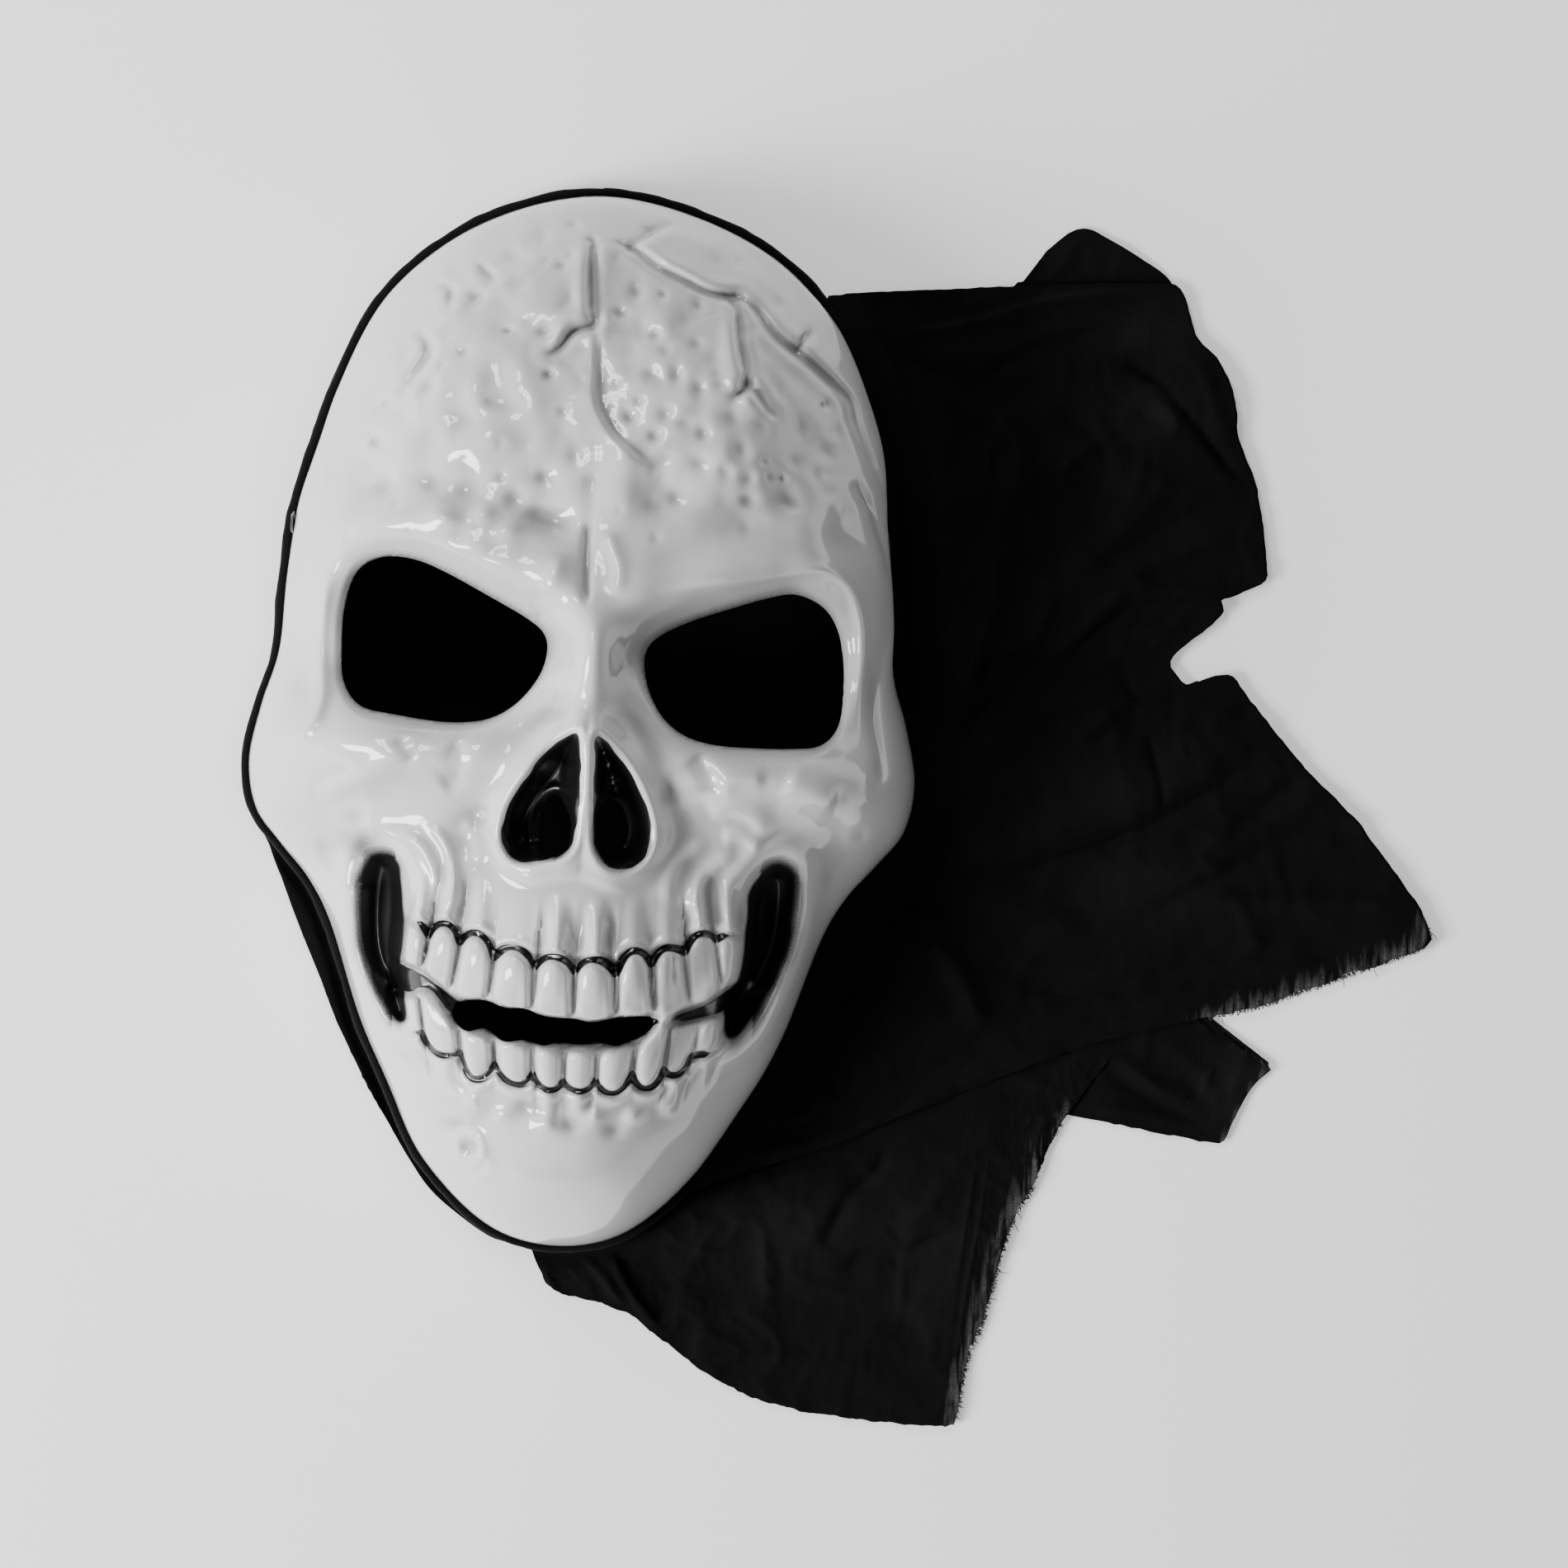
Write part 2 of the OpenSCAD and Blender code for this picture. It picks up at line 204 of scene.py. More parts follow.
def folds(x, y, lines):
    """Height of a set of ridges and valleys."""
    z = np.zeros(x.shape)
    for points, high, wide, step in lines:
        curve = spline(points, 5)
        low, top = curve.min(0) - 5 * wide - 8, curve.max(0) + 5 * wide + 8
        near = (x > low[0]) & (x < top[0]) & (y > low[1]) & (y < top[1])
        if not near.any():
            continue
        gap, share, side = line_distance(x[near], y[near], curve)
        ends = smooth(0, 0.22, share) * smooth(1, 0.78, share)
        bend = high * (0.65 * ridge(gap, 0, wide) + 0.35 * np.exp(-gap / (1.6 * wide)))
        z[near] += (bend + step * side * np.exp(-gap / (2.2 * wide)) * smooth(0, wide, gap)) * ends
    return z


# ---------------------------------------------------------------- the face's form, in millimetres

# The rim's height, the dome above it with the powers that shape its section, and the shell's wall
RIM_Z = 2.5
DOME_H = 78.0
DOME_P, DOME_Q = 2.6, 2.2
SHELL_T = 0.9
# How far the hem's outside stands from the rim, and the thicknesses of cloth and loose threads
HEM_OUT = 1.7
CLOTH_T = 0.34
THREAD_RADIUS = 0.11
# The elastic strap: its rivets' place, its size, and its tabs past the rivets
STRAP_X, STRAP_Y, STRAP_Z = 81.45, 52.0, 13.0
STRAP_REACH, STRAP_W, STRAP_T, STRAP_TAB = 60.0, 10.0, 1.2, 6.0
STRAP_RIBS = 24
# The CAD cloth slab under the strap, and the strap's clearance over it
SLAB_T, STRAP_GAP = 1.0, 0.4
HALF_RIM = [
    (0, 149), (36, 140), (62, 120.5), (76.5, 92), (83.5, 65), (87, 38), (88.5, 16), (93, 0), (96, -16),
    (93.5, -30), (86, -40), (77.5, -50), (70.5, -63), (61, -90), (51, -110), (38.5, -131), (20, -148),
    (0, -153),
]
RIM = spline(HALF_RIM + [(-x, y) for x, y in HALF_RIM[-2:0:-1]], 16, closed=True)
# The face isn't quite symmetric: its forehead lies to the right and its chin to the left
to_right = 2.1 * smooth(54, 82, RIM[:, 1]) * smooth(156, 130, RIM[:, 1]) - 1.7 * smooth(-100, -128, RIM[:, 1])
RIM = RIM + np.stack([to_right, 0.8 * smooth(115, 150, RIM[:, 1])], -1)


def reach_round(curve):
    """Distance from the origin to a closed curve, as a function of direction."""
    angle = np.arctan2(curve[:, 1], curve[:, 0])
    order = np.argsort(angle)
    far = np.hypot(*curve[order].T)
    return lambda turn: np.interp(turn, angle[order], far, period=2 * math.pi)


# Distance from the face's middle to its rim
rim_reach = reach_round(RIM)


def outline(points, steps=8):
    """A smooth closed outline through points."""
    return spline(points, steps, closed=True)


EYE_LEFT = outline([
    (-64, 36.5), (-57, 40.5), (-48, 40), (-39, 36.6), (-28, 31), (-16.5, 24.8), (-11.5, 20.5), (-10.6, 15),
    (-13, 8), (-19, 0.8), (-27, -3.4), (-38, -4.3), (-51, -2.8), (-61, -0.6), (-66.3, 6), (-67.5, 15),
    (-67.2, 27),
])
EYE_RIGHT = outline([
    (65, 31.5), (57, 34.5), (49, 33), (40, 30), (29, 26), (20.5, 21.7), (16.5, 17.5), (16, 12), (18, 4.8),
    (22, -1.5), (28, -5.8), (36, -7.8), (46, -8.2), (57, -8), (65, -6.7), (70, -1.5), (71.6, 7), (71.4, 17),
    (69.5, 25.5),
])
PIT_LEFT = outline([
    (-1.2, -6.5), (-4, -7), (-9.5, -11.3), (-14, -17.6), (-18.4, -24.6), (-20.6, -31), (-20.3, -36.5),
    (-17.5, -40.4), (-13, -41.2), (-8, -40), (-4, -38.6), (-1.6, -35.6), (-0.6, -29), (-0.1, -20),
    (-0.3, -12),
])
PIT_RIGHT = outline([
    (3.5, -7), (5.8, -7.8), (10.3, -12.3), (15.2, -19.9), (18.5, -27.3), (19.4, -34), (17.6, -39),
    (13, -42), (8.4, -41.5), (5.2, -38.2), (3.8, -33), (3.5, -21), (3.4, -13),
])
NOSTRIL_LEFT = outline([
    (-6.8, -23.5), (-10.4, -27), (-11.3, -32), (-9.8, -37.5), (-6.2, -39.6), (-3, -37), (-2.3, -31),
    (-3.8, -26),
])
NOSTRIL_RIGHT = outline([
    (8.9, -23.3), (12, -26.5), (13.2, -31.5), (12, -37), (9.2, -39.6), (6.2, -37.5), (4.8, -31.5),
    (5.9, -26),
])
MOUTH = outline([
    (-33, -82), (-29.5, -79.8), (-24, -79), (-18.5, -80.6), (-13.5, -80.3), (-8.2, -82.2), (-2.8, -82.6),
    (1.7, -83), (5.5, -83.6), (11, -82.4), (17, -81.6), (21.5, -82.2), (21.8, -85), (18, -88),
    (12.5, -90.2), (8, -89.6), (3.2, -90.2), (-3.5, -90), (-7.5, -90.6), (-13, -89.6), (-18.5, -89.8),
    (-23.5, -87.2), (-28.5, -87.8), (-32, -85.5),
], 6)
HOLES = [EYE_LEFT, EYE_RIGHT, NOSTRIL_LEFT, NOSTRIL_RIGHT, MOUTH]
SLOT_LEFT = outline([
    (-57, -42.3), (-52.5, -41.3), (-49.3, -44), (-48, -49), (-47.5, -57.5), (-48, -67), (-48, -74),
    (-47, -80), (-46.4, -86), (-48.5, -86.6), (-51.5, -82.5), (-56, -75), (-58.5, -67.5), (-59.3, -57.5),
    (-58.8, -49),
])
SLOT_RIGHT = outline([
    (56, -40.3), (59.2, -44), (59.6, -52.5), (58.4, -62.5), (55.2, -72), (50.5, -81.5), (46, -87.4),
    (43.4, -88.3), (42.2, -85.5), (42.2, -80.5), (43, -76), (45.5, -71), (46.7, -63), (46.7, -53),
    (48, -46), (51.5, -41.6),
])


def scallops(points):
    """Round arcs between cusps: every second point, from the first, is a cusp."""
    out = []
    for (ax, ay), (mx, my), (bx, by) in zip(points[:-2:2], points[1:-1:2], points[2::2]):
        for t in np.linspace(-1, 1, 15)[:-1]:
            ex, ey = (ax, ay) if t < 0 else (bx, by)
            out.append((mx + abs(t) * (ex - mx), my + (ey - my) * abs(t) ** 2.3))
    return np.array(out + [points[-1]])


# The teeth: the x of each seam, and the curves that they start and end on
UPPER_SEAMS = [-46.5, -39.7, -31, -21.6, -10.4, 0.3, 11.3, 20.8, 29.8, 38.2, 46.5]
LOWER_SEAMS = [-47, -40.5, -30, -20.5, -10, -1.8, 7, 16.8, 25.5, 33.5, 42]
UPPER_GUM = scallops([
    (-50, -61), (-45, -58.5), (-39.7, -62.2), (-35.5, -58.8), (-31, -63.6), (-27, -60.8), (-21.6, -67.2),
    (-16.5, -64.2), (-10.4, -69.3), (-5.5, -66), (0.3, -69.9), (5.5, -66.4), (11.3, -70.4), (16.3, -63.8),
    (20.8, -67.4), (25.4, -62.8), (29.8, -64), (34.5, -58.8), (38.2, -60.6), (42, -59.3), (50, -60),
])
LOWER_GUM = scallops([
    (-52, -87), (-46, -89.5), (-41, -89.7), (-34.6, -95.3), (-30, -94), (-25.6, -101.3), (-20.5, -96.8),
    (-13.8, -102), (-10, -98.8), (-5, -103), (-1.8, -100.5), (3, -103), (7, -99.8), (11.7, -103.4),
    (16.8, -97.8), (20.8, -102), (25.5, -96.8), (28.6, -98.3), (32.8, -93.2), (36.7, -92.4), (41, -88),
    (50, -84), (52, -83),
])
UPPER_EDGE = spline([
    (-60, -69), (-46, -71.5), (-42, -72.8), (-37, -75.8), (-32, -79.5), (-24, -80.3), (-15, -82.2),
    (-5, -83.8), (5, -84.3), (15, -83), (22, -82.4), (25, -82.8), (30, -81), (36, -78.5), (41, -75.5),
    (44, -74), (60, -70),
], 8)
LOWER_EDGE = spline([
    (-60, -80), (-46, -79), (-42, -77.4), (-38, -78.5), (-33, -84), (-28, -86.5), (-20, -88), (-10, -89.5),
    (0, -90.3), (10, -90), (18, -88.5), (23, -84), (26, -82.9), (30, -83.5), (36, -82.4), (41, -81.4),
    (44, -80.5), (60, -78),
], 8)


def curve_at(x, curve):
    """Height of a curve that runs from left to right."""
    return np.interp(x, curve[:, 0], curve[:, 1])


def tooth_place(x, seams):
    """For each x, its tooth's number, and its place across that tooth from -1 to 1."""
    edges = np.array(seams, float)
    n = np.clip(np.searchsorted(edges, x) - 1, 0, len(edges) - 2)
    middle = (edges[n] + edges[n + 1]) / 2
    half = (edges[n + 1] - edges[n]) / 2
    return n, np.clip((x - middle) / half, -1, 1)


CRACKS = [
    # points, depth, half width, step between the two sides
    ([(-3, 131), (-2.8, 128.5), (-2.6, 122), (-2, 113), (-1.3, 107.5), (-1.6, 105)], 2.3, 1.5, 1.2),
    ([(-1, 106.5), (-4.5, 105), (-7.6, 103.3), (-10, 99.5), (-12.5, 97)], 1.9, 1.4, 0.8),
    ([(-1, 105), (-0.4, 98), (0, 91), (0.5, 83.5), (5, 75.5), (11.5, 69.5), (19, 65.5)], 0.28, 1.5, 0.9),
    ([(5, 130.5), (10, 128.5), (16, 124), (21.7, 121.3), (28.5, 118), (34, 117), (38.5, 117.2)],
      1.9, 1.4, -0.9),
    ([(37, 117.2), (43, 113.5), (48.5, 107), (54.8, 102.3), (59.5, 99), (65, 94.5), (69.5, 90), (72, 82),
      (76.5, 73), (80, 66)], 2.0, 1.5, -1.1),
    ([(54.5, 102.5), (55.6, 105), (56.8, 108.5)], 1.7, 1.3, 0),
    ([(34.5, 117), (38, 113), (38.6, 108.5), (39.4, 101.5), (41, 94.5), (41, 90.5)], 2.0, 1.4, 0.7),
    ([(41, 91), (40, 89), (37.6, 87)], 1.6, 1.2, 0),
    ([(41, 91.5), (43.5, 89), (45.7, 86.5), (47.8, 83.5)], 1.7, 1.2, 0.3),
    ([(8, 129.8), (11, 132.5), (14.5, 135.3), (21, 139)], 1.6, 1.9, 0.9),
    ([(-35, 124), (-33, 121), (-30, 118.5)], 1.2, 1.8, 0.5),
    ([(-46, 118), (-43, 115.5), (-42, 111)], 1.1, 2.2, 0.5),
    ([(-50, 103), (-47, 98), (-50, 92), (-53, 87)], 1.4, 2.6, 0.5),
    ([(73, 66), (77, 57), (80.5, 49), (82.5, 41)], 1.8, 1.6, 0.8),
]
# Sharp crests and grooves of the bone: points, height, half width, step
FACE_LINES = [
    # Brows and orbits
    ([(17, 31), (28, 34.5), (40, 36.6), (52, 39), (62, 40.8), (69, 39), (73.5, 33), (75.6, 22), (75.8, 8),
      (74, -4)], 2.9, 1.9, 0.5),
    ([(-13, 31.5), (-24, 37), (-34, 42), (-46, 46.5), (-57, 48), (-66, 46)], 1.3, 4.2, -0.2),
    ([(-71, 40), (-73.5, 28), (-73.5, 14), (-72, 3), (-73.5, -5), (-78, -10), (-84, -15)], 2.3, 2.8, -0.5),
    ([(-78, 72), (-79, 54), (-80.5, 38), (-81.5, 21)], 1.7, 1.6, 0.8),
    ([(-88, 34), (-84, 20), (-80, 6), (-80, -4)], -1.2, 3.0, 0),
    ([(83.5, 42), (83, 30), (81.5, 16), (80.5, 2), (82, -8), (83, -18)], -2.4, 2.4, 0.6),
    ([(-82.5, 84), (-84, 70), (-83.5, 56), (-82, 44)], 1.5, 2.2, 0.5),
    ([(-76, 92), (-78, 76), (-77, 62)], -1.2, 3.0, 0),
    # Cheeks
    ([(-74, -27), (-66, -23), (-58, -19), (-50, -15), (-42, -12.5)], 1.4, 2.4, 0.5),
    ([(-49, -8), (-48, -12), (-44, -15)], -1.0, 2.4, 0),
    ([(-36, -9), (-33, -13), (-34, -19), (-38, -23)], -1.3, 3.2, 0.4),
    ([(30, -10), (34, -16), (36, -22)], -1.4, 3.0, 0.5),
    ([(34, -28), (40, -25), (47, -27), (52, -33)], 1.9, 3.0, 0.4),
    ([(38, -33), (44, -32.5), (50, -36)], 1.2, 2.0, 0.3),
    ([(36, -20), (42, -17), (50, -16)], 1.1, 2.6, 0),
    ([(54, -17), (62, -20), (70, -24)], 1.0, 4.0, 0),
    # Folds that run from the cheeks to the roots of the teeth
    ([(-50, -34), (-43, -38), (-39, -45), (-37.6, -52), (-37.5, -59)], 1.5, 1.8, 0.4),
    ([(-42, -31), (-36.5, -37), (-33.5, -45), (-33, -52), (-33.2, -58)], 1.4, 1.6, 0.3),
    ([(-32, -30), (-28, -36), (-26.5, -43)], 0.9, 2.0, 0),
    ([(44, -37), (37, -41), (32.5, -47), (31, -55)], 1.4, 2.4, -0.4),
    ([(36, -34), (29, -38), (25.5, -44), (24.5, -52)], 1.1, 2.2, -0.3),
    ([(-20, -44.5), (-10, -45.5), (0, -44), (8, -46), (16, -49)], 0.9, 1.8, 0),
    # Ridges outside the cheek slots
    ([(-66, -38), (-65.5, -50), (-64.5, -62), (-61, -74), (-56.5, -84), (-52, -92)], 2.6, 3.4, 0),
    ([(68, -42), (66, -54), (63.5, -66), (59, -78), (54, -88), (48, -96)], 2.6, 3.4, 0),
    ([(-62, -40), (-61, -45), (-60.5, -52)], -1.8, 2.6, 0),
    ([(-72, -36), (-72.5, -46), (-70, -58)], -1.6, 3.0, 0),
    # Nose
    ([(0, 66), (-0.2, 56), (-0.6, 46)], -0.8, 2.2, 0.3),
    ([(-0.4, 52), (-0.7, 44), (-0.6, 35), (0, 27)], -1.9, 1.1, 0.3),
    ([(3.5, 50), (5.5, 45), (8, 38), (7, 30)], 1.2, 2.4, 0),
    ([(-11, 30), (-9.5, 35), (-7.5, 42)], 1.0, 2.6, 0),
    ([(-12, 24), (-15, 28.5), (-12, 31)], -0.9, 1.6, 0),
    # Chin
    ([(-25, -121), (-21.5, -125), (-23, -130), (-28, -132)], 0.9, 2.0, 0),
    ([(-34, -108), (-30, -106), (-24, -107.5)], 0.8, 2.0, 0),
]
# Soft dents and swellings of the bone: x, y, spread x, spread y, turn, height
LUMPS = [
    (0, 128, 30, 10, 0, 0.8), (-30, 96, 22, 20, 20, 1.5), (32, 88, 22, 20, -15, 1.6),
    (-16, 112, 9, 7, 0, 1.1), (20, 110, 8, 9, 0, 1.0), (-62, 62, 9, 18, 8, -2.4), (22, 58, 9, 6, 10, -1.4),
    (-34, 70, 10, 6, 0, 1.2), (36, 68, 10, 6, 0, 1.0), (8, 62, 5, 12, 0, 0.9),
    (-9.5, 51, 5.5, 4.5, 0, -2.6), (-15, 53, 4, 3.5, 0, -1.2), (-21, 57, 3, 3, 0, -1.2),
    (-33, 59, 3.5, 3, 0, -0.9), (-29, 52, 3.4, 2.4, 20, 1.4), (-40, 51, 4.4, 2.8, -15, 1.5),
    (-22, 48, 3.8, 2.6, 20, 1.2), (-35, 46, 3, 2, 10, -0.8), (-26, 43, 3, 2, 20, -0.7),
    (-12, 60, 5, 6, 0, -0.9), (38, 55, 9, 6, 0, -1.6), (52, 61, 4, 5, 0, -1.5), (60, 52, 6, 5, 0, 1.2),
    (-52, 96, 6, 7, 0, -1.3), (-55, 78, 6, 10, 10, -0.9), (58, 74, 8, 10, -10, -1.0),
    (-20, 91, 4.5, 4.5, 0, 1.4), (-26, 83, 4.5, 3.5, 20, -1.2), (-33, 86, 3.6, 4.5, 0, 1.3),
    (-37, 78, 4.5, 4, 0, -1.1), (-28, 74, 5.5, 4.5, 0, 1.2), (-19, 72, 4, 4, 0, -1.1),
    (-42, 84, 4, 5, 0, 1.0), (-16, 82, 4, 4, 0, 0.8), (-45, 72, 4, 4, 0, -0.9), (-54, 66, 5, 4, 0, 0.8),
    (-35, 66, 4, 3, 0, -0.8), (-40, 108, 6, 5, 0, 0.9), (-22, 122, 6, 4, 0, 0.8), (28, 133, 6, 4, -20, 0.9),
    (43, 123, 5, 5, 0, 0.9), (78, -31, 5, 5, 0, 1.6), (78, -31, 2.4, 2.4, 0, -1.2),
    (82, -14, 3, 5, 0, -1.4), (71, -20, 3, 3, 0, -0.8), (-84, -10, 6, 5, 0, 1.0),
    (-62, -31, 3, 2.4, 0, -0.8), (-27, -29, 3, 3, 0, -0.9), (24, -22, 3, 4, 0, -1.2),
]
# Middles of the larger pits, and how many small ones lie between them
DIMPLES = [
    (11, 117), (17.5, 115.5), (10.5, 104.5), (14.5, 102.5), (20, 100.5), (26, 100.5), (16, 93.5),
    (23, 92.5), (27, 88.5), (8, 80.5), (13, 85), (20.5, 82), (23, 79), (29.5, 84.5), (31, 75.5),
    (35.5, 64.5), (41, 64), (47.5, 64), (52.5, 59.5), (51.5, 67), (55, 70), (40, 73), (44.5, 78.5),
    (50, 82.5), (57, 80), (20, 70), (23, 60), (29.5, 67.5), (43, 58.5), (61, 66), (63, 74), (27, 113),
    (30, 96), (9, 94), (15, 76), (37, 80), (33, 90), (24, 107), (6, 111), (46, 71), (58, 58), (66, 62),
    (-8, 112), (-15, 104), (-24, 104), (-33, 112), (-14, 92), (-8, 80), (-47, 88), (-58, 84), (-56, 60),
    (-44, 60), (-26, 63), (-14, 64), (-5, 70), (-38, 98), (12, 137), (4, 141), (-8, 138), (-18, 132),
    (30, 128), (38, 129), (49, 117), (62, 88), (66, 80), (-62, 74), (-12, 124), (-26, 127),
]
SMALL_PITS = 90


def dome(s):
    """Height of the plain dome at a share (0 to 1) of the way from the middle to the rim."""
    return DOME_H * np.maximum(0, 1 - s**DOME_P) ** (1 / DOME_Q)


def rim_share(x, y):
    """0 in the middle of the face and 1 on its rim."""
    return np.hypot(x, y) / rim_reach(np.arctan2(y, x))


# A little tilt: the halves' middle line, and its fall per millimetre across
FACE_MIDDLE = 2.0
FACE_TILT = 0.055
# Large forms that both halves share: across, up, spread across, spread up, turn, height
SIDE_FORMS = [
    # Cheekbone from under the eye to the side
    (66, -14, 20, 10, -4, 9.0), (84, -14, 10, 14, 0, 3.6), (34, -15, 20, 7, -6, 3.4),
    # Hollow under the cheekbone, and temple
    (74, -45, 13, 12, 30, -9.5), (29, -36, 10, 11, 0, -4.2), (78, 52, 12, 28, 10, -3.4),
    # Outer end of the brow, and forehead side
    (64, 45, 11, 8, -20, 2.8), (34, 84, 26, 26, 0, 2.4),
]
# Two mounds between the brows, then the nasal bone
MIDDLE_FORMS = [
    (-9, 38, 8, 9, 15, 3.0), (12, 36, 8, 10, -15, 3.0),
    (1.6, 13, 8.0, 19, 0, 9.5), (1.4, -8, 9.5, 13, 0, 6.5), (1.0, -26, 18, 17, 0, 6.0),
]


def sockets(x, y):
    """Brows, eye sockets, cheekbones and nose."""
    z = np.zeros(x.shape)
    for side, eye, cx, cy in ((-1, EYE_LEFT, -39.5, 18), (1, EYE_RIGHT, 43.5, 13.5)):
        u = side * (x - FACE_MIDDLE)
        v = y + FACE_TILT * (x - FACE_MIDDLE)
        # Bony ring round the hole, highest over the brow
        gap = inside_distance(x, y, eye)
        above = smooth(-10, 16, v - 14 - 0.15 * (u - 40))
        z += ridge(gap, 10.5, 6.5) * (0.8 + 3.0 * above)
        # The lip falls into the hole
        z -= (2.2 + 3.2 * above) * (1 - smooth(-2.5, 5.5 + 0.5 * above, gap))
        z -= 1.8 * (1 - smooth(-0.5, 2.2, gap))
        # The socket's hollow round the hole
        z -= 9.5 * hump(x, y, cx, cy, 28, 21)
        add_humps(z, u, v, SIDE_FORMS)
    add_humps(z, x, y, MIDDLE_FORMS)
    return z


def nose_distance(x, y):
    """Signed distance to the two open pits of the nose."""
    return np.minimum(inside_distance(x, y, PIT_LEFT), inside_distance(x, y, PIT_RIGHT))


def nose(x, y):
    """The two open pits of the nose with their raised rim."""
    gap = nose_distance(x, y)
    z = 1.8 * ridge(gap, 2.4, 3.0) * (gap > -6) + 1.3 * ridge(gap, 1.3, 1.2)
    z -= 1.2 * ridge(gap, 9.0, 4.2) * smooth(-45, -30, y)
    z -= 13.0 * smooth(0.2, 5.5, -gap)
    # A narrow tray at the bottom of each pit, round the breathing hole
    for nostril in (NOSTRIL_LEFT, NOSTRIL_RIGHT):
        hole = inside_distance(x, y, nostril)
        z -= 2.2 * (1 - smooth(-0.5, 2.0, hole)) * (gap < 1)
        z += 0.9 * ridge(hole, 2.6, 0.9) * (gap < 0)
    return z


# Swellings round the teeth and on the chin: x, y, spread x, spread y, turn, height
JAW_FORMS = [
    (-1, -79, 40, 25, 0, 6.5), (-1, -60, 26, 14, 0, 4.0), (-2, -129, 30, 14, 0, 7.5),
    (-2, -112, 36, 10, 0, 3.0), (-2, -110, 34, 5, 0, -2.2), (-31, -115, 5, 2.4, 0, -1.6),
]
# Knobs at the ends of the lower roots: x, y, height
ROOT_KNOBS = [
    (-18, -111, 0.9), (-6, -112.5, 1.0), (7, -110, 1.4), (18, -110, 1.3), (27, -107, 1.0), (-27, -108, 0.8),
    (1, -113, -0.9), (12.5, -114, -0.8), (-12, -108, -0.7),
]


def rows_gap(x):
    """Height of the middle of the gap between the two rows of teeth, and half its width."""
    upper, lower = curve_at(x, UPPER_EDGE), curve_at(x, LOWER_EDGE)
    return (upper + lower) / 2, (upper - lower) / 2


def tooth_row(x, y, seams, gum, edge, up):
    """Relief of one row; up is 1 for the upper row, whose roots point up, and -1 for the lower."""
    root_length, root_height = (19, 2.6) if up > 0 else (12, 1.0)
    arch = smooth(48.5, 45, np.abs(x + 0.5))
    faint = 1 - 0.55 * smooth(24, 30, x)
    below = (curve_at(x, gum) - y) * up
    n, place = tooth_place(x * (1 - 0.0038 * np.clip(below, -12, 18)), seams)
    before = (y - curve_at(x, edge)) * up + 0.9 - 2.9 * np.abs(place) ** 2.6
    crown = smooth(-0.6, 2.2, below) * smooth(-0.8, 3.4, before)
    barrel = np.sqrt(np.maximum(0, 1 - 0.96 * np.abs(place) ** 2.4))
    swell = 0.66 + 0.34 * np.sin(np.clip(below / 15, 0, 1) * math.pi)
    z = crown * faint * (5.8 + 0.45 * np.sin(n * 2.3 + up)) * barrel * swell
    # Seams, and a faint furrow down each tooth
    z -= 2.4 * faint * ridge((1 - np.abs(place)) * 4.6, 0, 0.8) * crown
    z -= 0.25 * crown * ridge((place - 0.35) * 4.5, 0, 0.8)
    # Raised roots beyond the gum line, fading out
    root = smooth(-0.2, 1.6, -below) * smooth(root_length, 3, -below)
    z += root * root_height * np.cos(place * math.pi) * (0.7 + 0.6 * np.sin(n * 1.7))
    gap = line_distance(x, y, gum)[0]
    z -= 1.1 * ridge(gap, 0, 1.2)
    z += 0.9 * ridge(gap, 2.1, 1.1) * (below < 0)
    return arch * z


def jaws(x, y):
    """Teeth, their roots, the slots in the cheeks and the chin."""
    z = tooth_row(x, y, UPPER_SEAMS, UPPER_GUM, UPPER_EDGE, 1)
    z += tooth_row(x, y, LOWER_SEAMS, LOWER_GUM, LOWER_EDGE, -1)
    add_humps(z, x, y, JAW_FORMS)
    for cx, cy, high in ROOT_KNOBS:
        z += 1.7 * high * hump(x, y, cx, cy, 2.8, 2.3)
    # Hollow between the two rows
    middle, half = rows_gap(x)
    half = half + 0.3
    away = (np.abs(y - middle) - half) / 1.8
    z -= 5.5 * smooth(1.0, -0.4, away) * smooth(52, 46, np.abs(x + 1)) * smooth(0.4, 1.4, half)
    for slot in (SLOT_LEFT, SLOT_RIGHT):
        gap = inside_distance(x, y, slot)
        z += 2.0 * ridge(gap, 5.5, 3.2) - 16.0 * smooth(3.2, -4.2, gap)
    # The round dent on the chin
    dent = np.hypot(x + 27, (y + 121) / 1.2)
    z += 1.9 * ridge(dent, 3.6, 1.5) - 1.8 * ridge(dent, 0, 2.4)
    return z


def cracks(x, y):
    """Cracks with a raised lip, and a step from one side to the other that fades away from them."""
    z = np.zeros(x.shape)
    for points, deep, wide, step in CRACKS:
        gap, share, side = line_distance(x, y, spline(points, 6))
        ends = np.sin(np.clip(share, 0.03, 0.97) * math.pi) ** 0.35
        inner = np.sin(np.clip(share, 0, 1) * math.pi) ** 0.7
        z += deep * ends * (0.40 * ridge(gap, 3.0, 2.2) - 1.6 * ridge(gap, 0, 0.85 * wide, 1.4))
        z -= step * 1.8 * side * np.exp(-gap / 8.0) * smooth(0, 1.2, gap) * inner
    return z


